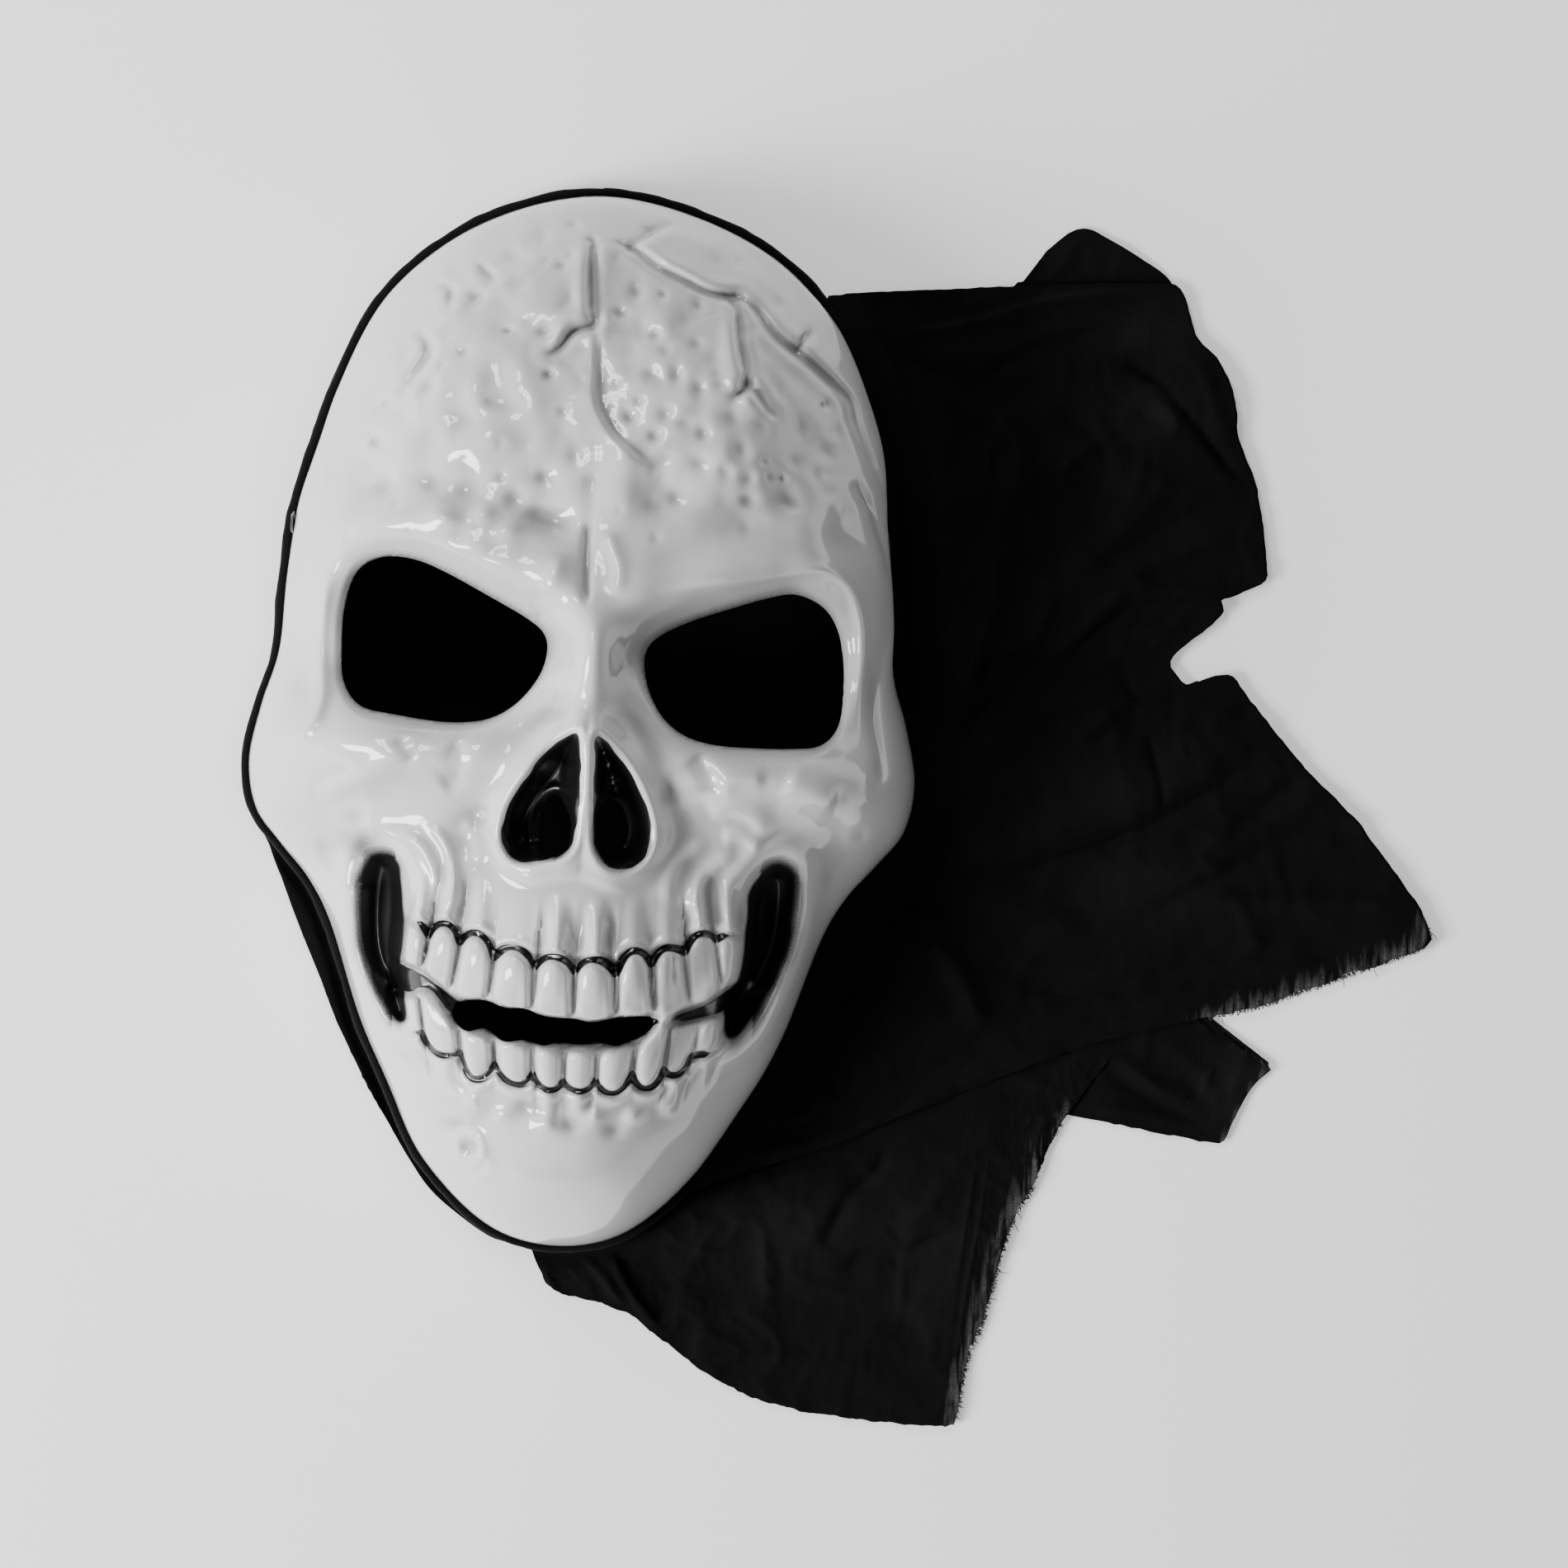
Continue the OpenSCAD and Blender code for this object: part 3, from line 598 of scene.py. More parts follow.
def pits(x, y):
    """Dimples of weathered bone: the large ones in their places and the small ones scattered."""
    draw = np.random.RandomState(11)
    spots = [(cx + draw.uniform(-1.6, 1.6), cy + draw.uniform(-1.6, 1.6), draw.uniform(1.2, 2.9),
              draw.uniform(0.5, 1.5)) for cx, cy in DIMPLES]
    for _ in range(SMALL_PITS):
        spots.append((draw.uniform(-72, 76), draw.uniform(46, 140), draw.uniform(1.0, 1.8),
                      draw.uniform(0.15, 0.5)))
    z = np.zeros(x.shape)
    for cx, cy, size, deep in spots:
        if rim_share(np.array(cx), np.array(cy)) > 0.93:
            continue
        near = (np.abs(x - cx) < 9) & (np.abs(y - cy) < 9)
        z[near] -= deep * hump(x[near], y[near], cx, cy, size, size * draw.uniform(0.8, 1.4))
    return z


def weathering(x, y):
    """Sharp lines, lumps, cracks and pits of weathered bone."""
    z = 1.3 * folds(x, y, FACE_LINES) + cracks(x, y) + pits(x, y)
    for cx, cy, rx, ry, turn, high in LUMPS:
        calm = 0.75 if cx < -12 and cy > 64 else 1
        z += 1.55 * calm * high * hump(x, y, cx, cy, rx, ry, turn)
    return z + smooth(44, 60, y) * (0.6 * noise(x, y, 9, 3) + 0.3 * noise(x, y, 4.5, 4))


def face_height(x, y):
    """Height of the face's outer surface above the resting surface."""
    s = np.minimum(rim_share(x, y), 1)
    # The relief dies out at the rim
    fade = 1 - s**14
    z = sockets(x, y) + nose(x, y) + jaws(x, y) + weathering(x, y)
    z += 0.35 * noise(x, y, 16, 7) + 0.12 * noise(x, y, 6, 8)
    return RIM_Z + dome(s) + z * fade


def wall_lean(x, y, z):
    """Sideways shift of the upper walls, because the face lies a little tilted on its cloth."""
    upper = smooth(2, 30, y) * smooth(138, 108, y)
    return 2.3 * smooth(14, 30, z) * smooth(0.80, 0.95, rim_share(x, y)) * upper


def paint_field(x, y):
    """Distances to the sharp-edged black paint, and the amount of soft black overspray."""
    pit = nose_distance(x, y)
    upper, lower = line_distance(x, y, UPPER_GUM)[0], line_distance(x, y, LOWER_GUM)[0]
    # Distance to the nearer gum line, negative on the teeth between the two
    line = np.where(upper < lower, upper * np.sign(y - curve_at(x, UPPER_GUM)),
                    lower * np.sign(curve_at(x, LOWER_GUM) - y))
    right_end = np.where(y > -80, smooth(42, 40, x), smooth(38.5, 36.5, x))
    width = (0.98 + 0.25 * noise(x, y, 4, 22)) * smooth(-43.6, -41.5, x) * right_end
    middle, half = rows_gap(x)
    rows = np.maximum(np.abs(y - middle) - half + 0.35, np.abs(x + 1) - 49)
    gap = np.minimum(pit + 0.35 * noise(x, y, 3, 21), rows + 0.3 * noise(x, y, 3, 23))
    spray = 0.30 * smooth(9, 0, inside_distance(x, y, SLOT_LEFT)) * smooth(-56, -62, x)
    spray += 0.62 * hump(x, y, -59.5, -38.5, 6.5, 5)
    spray = np.maximum(spray, 0.75 * smooth(1.8, -0.8, pit) * smooth(-26, -38, y))
    for slot in (SLOT_LEFT, SLOT_RIGHT):
        away = inside_distance(x, y, slot) + 0.8 * noise(x, y, 6, 24)
        # Sharp on the side of the teeth, and sprayed freely on the other
        reach = np.where(np.abs(x) < 50, smooth(1.2, -0.6, away), smooth(5.6, -1.6, away))
        spray = np.maximum(spray, reach)
    return {"paint_gap": gap, "overspray": spray, "gum_line": line, "gum_width": width}


# ---------------------------------------------------------------- meshes


def add_object(name, data):
    """A new object in the scene."""
    obj = bpy.data.objects.new(name, data)
    bpy.context.scene.collection.objects.link(obj)
    return obj


def make_mesh(name, verts, faces, attributes=None, smooth_shade=True):
    """A mesh object from vertices in millimetres."""
    mesh = bpy.data.meshes.new(name)
    mesh.from_pydata((np.asarray(verts) * MM).tolist(), [], faces)
    for key, values in (attributes or {}).items():
        layer = mesh.attributes.new(key, "FLOAT", "POINT")
        layer.data.foreach_set("value", np.asarray(values, np.float32))
    mesh.validate()
    mesh.update()
    if smooth_shade:
        mesh.polygons.foreach_set("use_smooth", [True] * len(mesh.polygons))
    return add_object(name, mesh)


def profile_table():
    """Rim share against a mesh ring's number, with rings closer where the wall stands up."""
    s = np.linspace(0, 1, 4001)
    z = dome(s)
    steps = np.hypot(np.diff(s) * 112, np.diff(z))
    weight = 1 - 0.68 * smooth(0.88, 0.96, s[1:])
    length = np.concatenate([[0], np.cumsum(steps * weight)])
    return length / length[-1], s


def face_plan(across, up):
    """Plan positions of a grid stretched over the face's outline."""
    dx, dy = disc_grid(across, up)
    at, s = profile_table()
    angle = np.arctan2(dy * 150, dx * 96)
    reach = rim_reach(angle) * np.interp(np.hypot(dx, dy), at, s)
    return reach * np.cos(angle), reach * np.sin(angle)


def nearest_on(x, y, curve):
    """Distance to a closed curve, and its nearest point."""
    closed = np.vstack([curve, curve[:1]])
    best, bx, by = np.full(x.shape, 1e9), x.copy(), y.copy()
    for (ax, ay), (qx, qy) in zip(closed[:-1], closed[1:]):
        length = (qx - ax) ** 2 + (qy - ay) ** 2
        t = np.clip(((x - ax) * (qx - ax) + (y - ay) * (qy - ay)) / length, 0, 1)
        px, py = ax + t * (qx - ax), ay + t * (qy - ay)
        gap = np.hypot(x - px, y - py)
        near = gap < best
        best, bx, by = np.where(near, gap, best), np.where(near, px, bx), np.where(near, py, by)
    return best, bx, by


def cut_holes(x, y):
    """Keeps the grid's cells outside the holes, and moves the cells' corners onto the edges."""
    cx = (x[:-1, :-1] + x[1:, :-1] + x[1:, 1:] + x[:-1, 1:]) / 4
    cy = (y[:-1, :-1] + y[1:, :-1] + y[1:, 1:] + y[:-1, 1:]) / 4
    keep = np.ones(cx.shape, bool)
    for hole in HOLES:
        box = (cx > hole[:, 0].min() - 3) & (cx < hole[:, 0].max() + 3)
        box &= (cy > hole[:, 1].min() - 3) & (cy < hole[:, 1].max() + 3)
        keep[box] &= inside_distance(cx[box], cy[box], hole) > 0
    touch, lost = np.zeros(x.shape, int), np.zeros(x.shape, int)
    for i in (0, 1):
        for j in (0, 1):
            part = (slice(i, i + keep.shape[0]), slice(j, j + keep.shape[1]))
            touch[part] += keep
            lost[part] += ~keep
    edge = (touch > 0) & (lost > 0)
    ex, ey = x[edge], y[edge]
    for hole in HOLES:
        gap, bx, by = nearest_on(ex, ey, hole)
        close = gap < 2.5
        ex, ey = np.where(close, bx, ex), np.where(close, by, ey)
    x, y = x.copy(), y.copy()
    x[edge], y[edge] = ex, ey
    # Even out the cells beside the edges, so that the lip is smooth
    near = edge.copy()
    for _ in range(5):
        near[1:-1, 1:-1] |= near[:-2, 1:-1] | near[2:, 1:-1] | near[1:-1, :-2] | near[1:-1, 2:]
    free = near & ~edge & (lost == 0)
    free[[0, -1]] = free[:, [0, -1]] = False
    for _ in range(14):
        for value in (x, y):
            value[free] = neighbour_mean(value)[free]
    return x, y, keep


def boundary_loops(faces):
    """Closed loops of vertex numbers round the open edges of a list of faces."""
    edges = dict.fromkeys((a, b) for face in faces for a, b in zip(face, face[1:] + face[:1]))
    follow = {a: b for a, b in edges if (b, a) not in edges}
    loops = []
    while follow:
        at, loop = next(iter(follow)), []
        while at in follow:
            loop.append(at)
            at = follow.pop(at)
        loops.append(loop)
    return loops


def zip_loops(points, outer, inner):
    """Triangles between two loops that run the same way round, with unequal counts."""
    first = int(np.argmin(np.linalg.norm(points[inner] - points[outer[0]], axis=1)))
    inner = inner[first:] + inner[:first]
    i = j = 0
    faces = []
    while i < len(outer) or j < len(inner):
        a, b = outer[i % len(outer)], inner[j % len(inner)]
        if j >= len(inner) or (i < len(outer) and i / len(outer) <= j / len(inner)):
            faces.append([outer[(i + 1) % len(outer)], a, b])
            i += 1
        else:
            faces.append([a, b, inner[(j + 1) % len(inner)]])
            j += 1
    return faces


def hollow_share(x, y, z):
    """How far each point lies below its surroundings, from 0 to 1, as the amount of painted shade in creases
    and hollows.
    """
    step = 300 / x.shape[0]
    mean = z
    for _ in range(round(26 / step**2)):
        mean = neighbour_mean(mean)
    return np.clip((mean - z) / 0.9, 0, 1) * smooth(0.97, 0.90, rim_share(x, y))


def shell_normals(points):
    """Smoothed normals of the face's outer surface, level along its rim."""
    normal = grid_normals(points)
    for _ in range(4):
        normal = neighbour_mean(normal)
    normal[[0, -1], :, 2] = 0
    normal[:, [0, -1], 2] = 0
    return unit(normal)


def face_shell():
    """The face: a fine outer surface, a coarser inner one, and the cut edges between them."""
    x, y, keep = cut_holes(*face_plan(*FACE_CELLS))
    z = face_height(x, y)
    paint = paint_field(x, y)
    # Painted shade: the plastic's colour is darkened where the surface lies below its surroundings
    paint["hollow"] = hollow_share(x, y, z)
    outer = grid_quads(x.shape)[keep].tolist()
    points = np.stack([x + wall_lean(x, y, z), y, z], -1)
    # Every second grid line carries the inner surface
    normal = shell_normals(points)[::2, ::2]
    xi, yi, keep_in = cut_holes(x[::2, ::2], y[::2, ::2])
    zi = face_height(xi, yi)
    inner_points = np.stack([xi + wall_lean(xi, yi, zi), yi, zi], -1) - SHELL_T * normal
    inner = grid_quads(xi.shape, x.size)[keep_in][:, [0, 3, 2, 1]].tolist()
    verts = np.vstack([points.reshape(-1, 3), inner_points.reshape(-1, 3)])
    inner_loops = [loop[::-1] for loop in boundary_loops(inner)]
    strips = []
    for loop in boundary_loops(outer):
        middle, half_count = verts[loop].mean(0), len(loop) / 2
        match = min(inner_loops, key=lambda l: np.linalg.norm(verts[l].mean(0) - middle)
                    + abs(len(l) - half_count) * 0.4)
        strips += zip_loops(verts, loop, match)
    faces = outer + inner + strips
    used = np.unique(np.concatenate([np.ravel(f) for f in (outer, inner, strips)]))
    renumber = np.full(len(verts), -1)
    renumber[used] = np.arange(len(used))
    faces = [[int(renumber[v]) for v in f] for f in faces]
    bare = {"paint_gap": 9.0, "overspray": 0.0, "gum_line": 9.0, "gum_width": 0.0, "hollow": 0.0}
    fields = {key: np.concatenate([value.ravel(), np.full(xi.size, bare[key])])[used]
              for key, value in paint.items()}
    return make_mesh("skull_face", verts[used], faces, fields)


# ---------------------------------------------------------------- cloth

FRONT_OUT = [
    # a point of the front layer's edge, and the height on the rim that its cloth runs from
    (66, 124, 122), (79, 126, 113), (92, 127, 106), (117, 129, 96), (140, 130.5, 86), (158, 131.5, 78),
    (168, 130.5, 72), (173, 117, 62), (181, 108, 54), (185, 98, 47), (186.5, 87, 41), (191, 77, 34),
    (193.5, 67, 28), (195, 57, 21), (196, 47.5, 15), (190, 43.5, 11), (183, 40.5, 7), (184, 37.5, 5),
    (179, 32, 2), (172.5, 26.5, -1), (169, 22, -3), (172, 17.5, -5), (176, 15.5, -7), (181, 18, -9),
    (187, 19, -11), (191, 14, -13), (202, 1, -17), (213, -10.5, -22), (224, -21, -27), (234, -33, -32),
    (242, -43.5, -38), (246, -50.5, -43), (245.5, -57, -48), (233, -62.5, -54), (216, -69.5, -60),
    (197, -76.8, -66), (182, -80.5, -73), (152, -88.5, -81), (122, -101, -91), (98, -111.5, -102),
    (75, -122, -113), (51, -130, -126), (29, -138.5, -141),
]
BACK_OUT = outline([
    (0, 150.5), (34, 142), (61, 122.5), (92, 124), (118, 127), (124, 135), (130, 141), (136, 146),
    (141, 146.8), (146, 144.5), (156, 139), (165, 133), (167, 125), (165, 110), (160, 80), (160, 50),
    (155, 20), (158, -10), (168, -40), (176, -66), (181, -79), (191, -86), (201, -92.5), (203.5, -94),
    (199, -98.5), (196, -103), (192.5, -110), (190, -116), (186, -116.5), (170, -114), (150, -111),
    (138, -110.5), (110, -118), (70, -132), (24, -149.5), (0, -154.5), (-16, -153.5), (-25, -150),
    (-38, -140), (-45.9, -130), (-52, -120), (-58.3, -110), (-63.7, -100), (-68.8, -90), (-73, -80),
    (-77.5, -70), (-81.9, -60), (-85.9, -50), (-89.8, -41), (-93, -34), (-96.5, -18), (-93.5, 0),
    (-89.5, 16), (-88.5, 38), (-85, 65), (-78, 92), (-63, 121.5), (-36, 141.5),
], 5)
TAIL_OUT = [
    # a point of the tail's edge, and the point of its upper edge that its cloth runs from
    (-12, -150, -12, -146), (-8.5, -157, -8, -147), (-6.5, -161, -5, -147.5), (-4, -165.3, -1, -148),
    (2, -168, 3, -148), (9, -169, 7, -148), (15, -171, 11, -147), (20.5, -173, 15, -146.5),
    (26, -177.5, 19, -145), (32, -181.5, 24, -143), (41, -188, 30, -140), (54, -194.5, 40, -136),
    (64, -197.5, 50, -132), (74, -199.3, 60, -128), (84, -200.3, 72, -123), (93, -201, 84, -117),
    (103, -201.4, 96, -111), (112, -201.6, 106, -106), (115.2, -200.6, 114, -103),
    (116.5, -190, 122, -100.5), (118.5, -180, 128, -98.5), (122, -171, 133, -96.5), (124.5, -160, 138, -95),
    (127, -149, 142, -94), (131, -138, 146, -93), (134.5, -132, 150, -92), (137.5, -121, 154, -91.5),
    (143, -111, 158, -91),
]

# Folds of the front layer: points, height of the ridge or depth of the valley, half width, step
FRONT_FOLDS = [
    ([(104, -6), (107.3, 2), (112, 20.5), (117, 36), (118.5, 54), (121, 62)], 4.2, 3.0, 0.8),
    ([(92, 101), (100, 98), (110, 93), (118, 88), (122.5, 81), (122, 70), (120.5, 60)], 3.4, 3.6, 0),
    ([(122, 46), (130, 55), (141, 66), (152, 77)], -3.0, 8.0, 0),
    ([(104, -9), (112, -1), (120, 7), (140, 23), (160, 37), (184, 40)], -4.4, 3.6, 0.9),
    ([(108, 8), (112, 20), (120, 23), (131, 24)], 1.7, 1.8, 0.4),
    ([(128, 24), (132, 32), (134, 41)], 1.5, 1.8, 0.3),
    ([(134, 16), (142, 27), (150, 36), (158, 43)], 2.6, 2.4, 0.4),
    ([(122, 40), (132, 43), (146, 44.5), (158, 44), (170, 42), (186, 44)], 3.0, 2.2, -0.7),
    ([(150, 44), (160, 49), (172, 54), (188, 60)], 2.0, 2.4, 0.4),
    ([(136, 43), (148, 54), (160, 66), (168, 80)], 1.8, 3.0, 0.3),
    ([(144, 44), (156, 54), (172, 64), (190, 70)], -1.3, 2.2, 0),
    ([(84, 113), (96, 115), (112, 119), (126, 124), (146, 128), (166, 130)], 2.2, 2.0, -0.6),
    ([(80, 107), (92, 104), (104, 100), (112, 99), (124, 99.5), (138, 100)], -3.2, 3.4, 0),
    ([(110, 100), (118, 107), (128, 112.5), (138, 115.5), (147, 117)], -1.8, 2.0, 0.6),
    ([(90, 108), (106, 109), (122, 112), (140, 118), (152, 122)], 2.0, 4.0, 0),
    ([(148, 110), (158, 105), (166, 100), (174, 91), (182, 81), (192, 72)], -2.6, 1.8, -0.9),
    ([(152, 104), (160, 103), (168, 99), (173, 94)], 1.5, 1.5, 0),
    ([(151, 92), (155, 97), (162, 97), (168, 92), (165, 87), (157, 86), (151, 91)], 1.1, 1.2, 0),
    ([(156, 93), (161, 93), (165, 90)], -0.9, 1.2, 0),
    ([(170, 113), (176, 104), (180, 93), (184, 84)], 1.7, 2.4, 0.3),
    ([(134, 76), (142, 82), (151, 88)], 1.4, 1.8, 0.4),
    ([(132, 94), (140, 90), (146, 84), (150, 74)], -1.4, 2.4, 0),
    ([(150, 60), (156, 70), (160, 82)], 1.2, 2.2, 0),
    ([(107, -39), (118, -41), (130, -39), (142, -34), (158, -28), (168, -23), (184, -13), (200, -2)],
      -3.0, 2.2, 0.9),
    ([(104, -33), (120, -33), (140, -27), (160, -19), (180, -8), (194, 4)], 2.4, 5.0, 0),
    ([(163.5, 2), (165.5, -6), (167.5, -14), (168, -23)], -1.4, 1.5, -0.4),
    ([(141, 5), (145, 0), (152, 6), (158, 10), (163, 6)], 1.2, 1.8, 0.3),
    ([(152, 24), (158, 15), (160, 6), (158, 0)], -1.2, 1.8, 0.5),
    ([(136, 3), (146, 2), (154, 8)], 1.2, 1.8, 0),
    ([(180, 2), (186, 9), (192, 15)], 1.2, 1.8, 0.3),
    ([(186, -27), (195, -21), (203, -14), (211, -8)], -1.8, 2.0, 0.5),
    ([(176, -30), (192, -26), (208, -18), (219, -13)], 1.6, 3.0, 0),
    ([(160, -54), (168, -49), (177, -44), (188, -38), (196, -32), (207, -27), (221, -24), (236, -27)],
      -2.4, 2.0, 0.7),
    ([(172, -50), (186, -46), (206, -46), (226, -45), (245, -47)], 2.0, 2.4, -0.4),
    ([(190, -44), (194, -53), (198, -62)], 1.2, 2.0, 0.3),
    ([(178, -33), (184, -37), (192, -39)], 1.0, 1.4, 0),
    ([(100, -46), (112, -46), (126, -50), (140, -56), (150, -58)], 2.2, 4.5, 0),
    ([(102, -58), (108, -66), (113, -75), (120, -88)], 3.0, 3.2, 0.6),
    ([(108, -62), (128, -70), (150, -73), (180, -67), (204, -62), (230, -56), (246, -52)], -2.2, 3.0, 0.5),
    ([(96, -62), (92, -74), (84, -86), (70, -102)], -2.8, 3.2, 0.4),
    ([(72, -99), (90, -90), (104, -83), (116, -76)], -2.4, 3.2, 0),
    ([(56, -124), (68, -118), (84, -110), (100, -103), (122, -96)], -3.8, 4.0, 0.8),
    ([(64, -117), (70, -111), (77, -105)], 2.4, 2.2, 0.4),
    ([(40, -131), (52, -126), (80, -117), (120, -98), (160, -84.5), (186, -75)], 2.6, 2.6, -0.6),
    ([(120, -88), (140, -84), (160, -78), (182, -71)], 1.0, 4.0, 0),
]
TAIL_FOLDS = [
    ([(74, -154), (77, -146), (82, -136), (90, -128), (92, -118)], -1.5, 2.0, 0.5),
    ([(79, -159), (87, -153), (98, -152), (108, -147), (118, -145)], -1.7, 1.8, 0.6),
    ([(32, -163), (50, -165), (70, -167), (95, -170), (114, -181)], -1.5, 5.0, 0.4),
    ([(0, -150), (6, -156), (12, -163), (19, -171)], 1.6, 1.5, 0.6),
    ([(6, -150), (14, -156), (20, -166), (30, -178)], 1.8, 1.6, -0.6),
    ([(22, -149), (32, -146), (46, -139)], -1.2, 1.8, 0.6),
    ([(46, -143), (40, -152), (34, -162)], 1.2, 2.2, 0.5),
    ([(30, -141), (50, -135), (76, -127), (104, -116), (130, -106)], 1.6, 3.0, 0),
    ([(96, -146), (104, -140), (112, -128)], 1.0, 3.0, 0.3),
    ([(48, -180), (66, -184), (86, -186), (106, -190)], 0.8, 3.4, 0),
    ([(118.5, -120), (116.5, -140), (113.5, -165), (110.8, -197)], 0.5, 0.7, 0.1),
    ([(122.5, -118), (120.5, -138), (117, -162), (113.4, -196)], 0.4, 0.7, 0.1),
    ([(56, -150), (60, -160), (58, -172)], 0.8, 2.6, 0),
]
BACK_FOLDS = [
    ([(122, 128), (128, 134), (133, 140)], -0.8, 1.6, 0.3),
    ([(127, 130), (134, 137), (139, 145)], 1.4, 2.2, 0.2),
    ([(146, 134), (152, 137), (158, 137)], 0.9, 2.4, 0),
    ([(152, -92), (158, -98), (168, -104), (182, -110)], -1.0, 1.6, 0.5),
    ([(156, -90), (164, -97), (174, -103), (184, -104)], 1.7, 1.8, 0.3),
    ([(168, -86), (180, -94), (190, -108)], 1.2, 2.2, 0.3),
    ([(150, -108), (165, -109), (182, -113)], 0.9, 2.0, 0.2),
    # Soft folds that show through the eye holes
    ([(-74, 24), (-56, 14), (-38, 14), (-16, 22), (0, 26)], 3.2, 6.0, 0),
    ([(-70, 2), (-50, 0), (-30, -6), (-10, -16)], 2.2, 5.0, 0),
    ([(14, 6), (34, 14), (52, 16), (74, 26)], 3.0, 5.0, 0),
    ([(20, -12), (40, -4), (60, -2), (76, 6)], -1.6, 3.5, 0),
    ([(46, -12), (56, 0), (60, 14)], 2.2, 4.0, 0.3),
    ([(-30, -60), (0, -70), (30, -66), (52, -50)], 2.6, 7.0, 0),
    ([(-40, -90), (-10, -98), (24, -94)], 2.0, 6.0, 0),
]


def crumple(x, y, seed, size=13.0, high=1.0):
    """Sharp-backed wrinkles of thin cloth, from 0 up."""
    wx = x + 0.5 * size * noise(x, y, size, seed + 5)
    wy = y + 0.5 * size * noise(x, y, size, seed + 6)
    z = np.zeros(x.shape)
    for i, (scale, share) in enumerate(((1.0, 1.0), (0.52, 0.42), (0.27, 0.16))):
        z += share * (1 - np.abs(noise(wx, wy, size * scale, seed + i))) ** 2.2
    return high * z / 1.58


def cloth_mesh(name, x, y, z, worn, thin):
    """A closed thin sheet over a grid of points, with its worn edge and its thin patches."""
    top = np.stack([x, y, z], -1)
    normal = grid_normals(top)
    normal *= np.where(normal[..., 2:] < 0, -1, 1)
    under = top - CLOTH_T * normal
    under[..., 2] = np.maximum(under[..., 2], 0.02)
    verts = np.vstack([top.reshape(-1, 3), under.reshape(-1, 3)])
    quads = grid_quads(x.shape).reshape(-1, 4)
    a, b, c = (verts[quads[:, i]] for i in (0, 1, 2))
    if np.cross(b - a, c - a)[:, 2].sum() < 0:
        quads = quads[:, ::-1]
    faces = quads.tolist() + (quads[:, ::-1] + x.size).tolist()
    for a, b in boundary_edges(quads):
        faces.append([b, a, a + x.size, b + x.size])
    fields = {"worn": np.tile(worn.ravel(), 2), "thin": np.tile(thin.ravel(), 2)}
    return make_mesh(name, verts, faces, fields)


def boundary_edges(quads):
    """Directed edges that only one face of a grid uses, found by a number made from both ends."""
    pairs = np.concatenate([quads[:, [i, (i + 1) % 4]] for i in range(4)])
    code, back = (pairs[:, i].astype(np.int64) * 10**7 + pairs[:, 1 - i] for i in (0, 1))
    return pairs[~np.isin(code, back)].tolist()


def fray(x, y, line, reach):
    """1 on a frayed edge, fading inward over a few millimetres."""
    return np.exp(-line_distance(x, y, np.array(line, float))[0] / reach)


def edge_stops(table, count):
    """Even stops along a table's outline, with the table's other columns carried along."""
    line = spline(table, 10)
    step = np.hypot(*np.diff(line[:, :2], axis=0).T)
    at = np.concatenate([[0], np.cumsum(step)]) / step.sum()
    share = np.linspace(0, 1, count + 1)
    return np.stack([np.interp(share, at, column) for column in line.T], -1)


def jagged(edge, start, frayed, length, cell, seed, high):
    """An edge with small teeth that point away from its start line, largest where it is frayed."""
    wild = np.maximum(fray(edge[:, 0], edge[:, 1], frayed, 3.0), 0.18)
    run = np.linspace(0, 1, len(edge)) * length
    jag = noise(run, run * 0, cell, seed) + 0.7 * noise(run, run * 0 + 9, 1.4, seed + 1)
    return edge + unit(edge - start) * (jag * wild * high)[:, None]


def loft(start, edge, share):
    """A grid of plan points from a start line (share 0) to an edge (share 1)."""
    grid = start * (1 - share[:, :, None]) + edge * share[:, :, None]
    return grid[..., 0], grid[..., 1]


# The two frayed edges, of the front layer's tip and of the tail
TIP_EDGE = [(246.5, -51), (245.5, -57), (233, -62.5), (216, -69.5), (197, -76.8), (183, -80.3)]
TAIL_EDGE = [
    (143, -111), (137.5, -121), (134.5, -132), (131, -138), (127, -149), (124.5, -160), (122, -171),
    (118.5, -180), (116.5, -190), (115, -201),
]


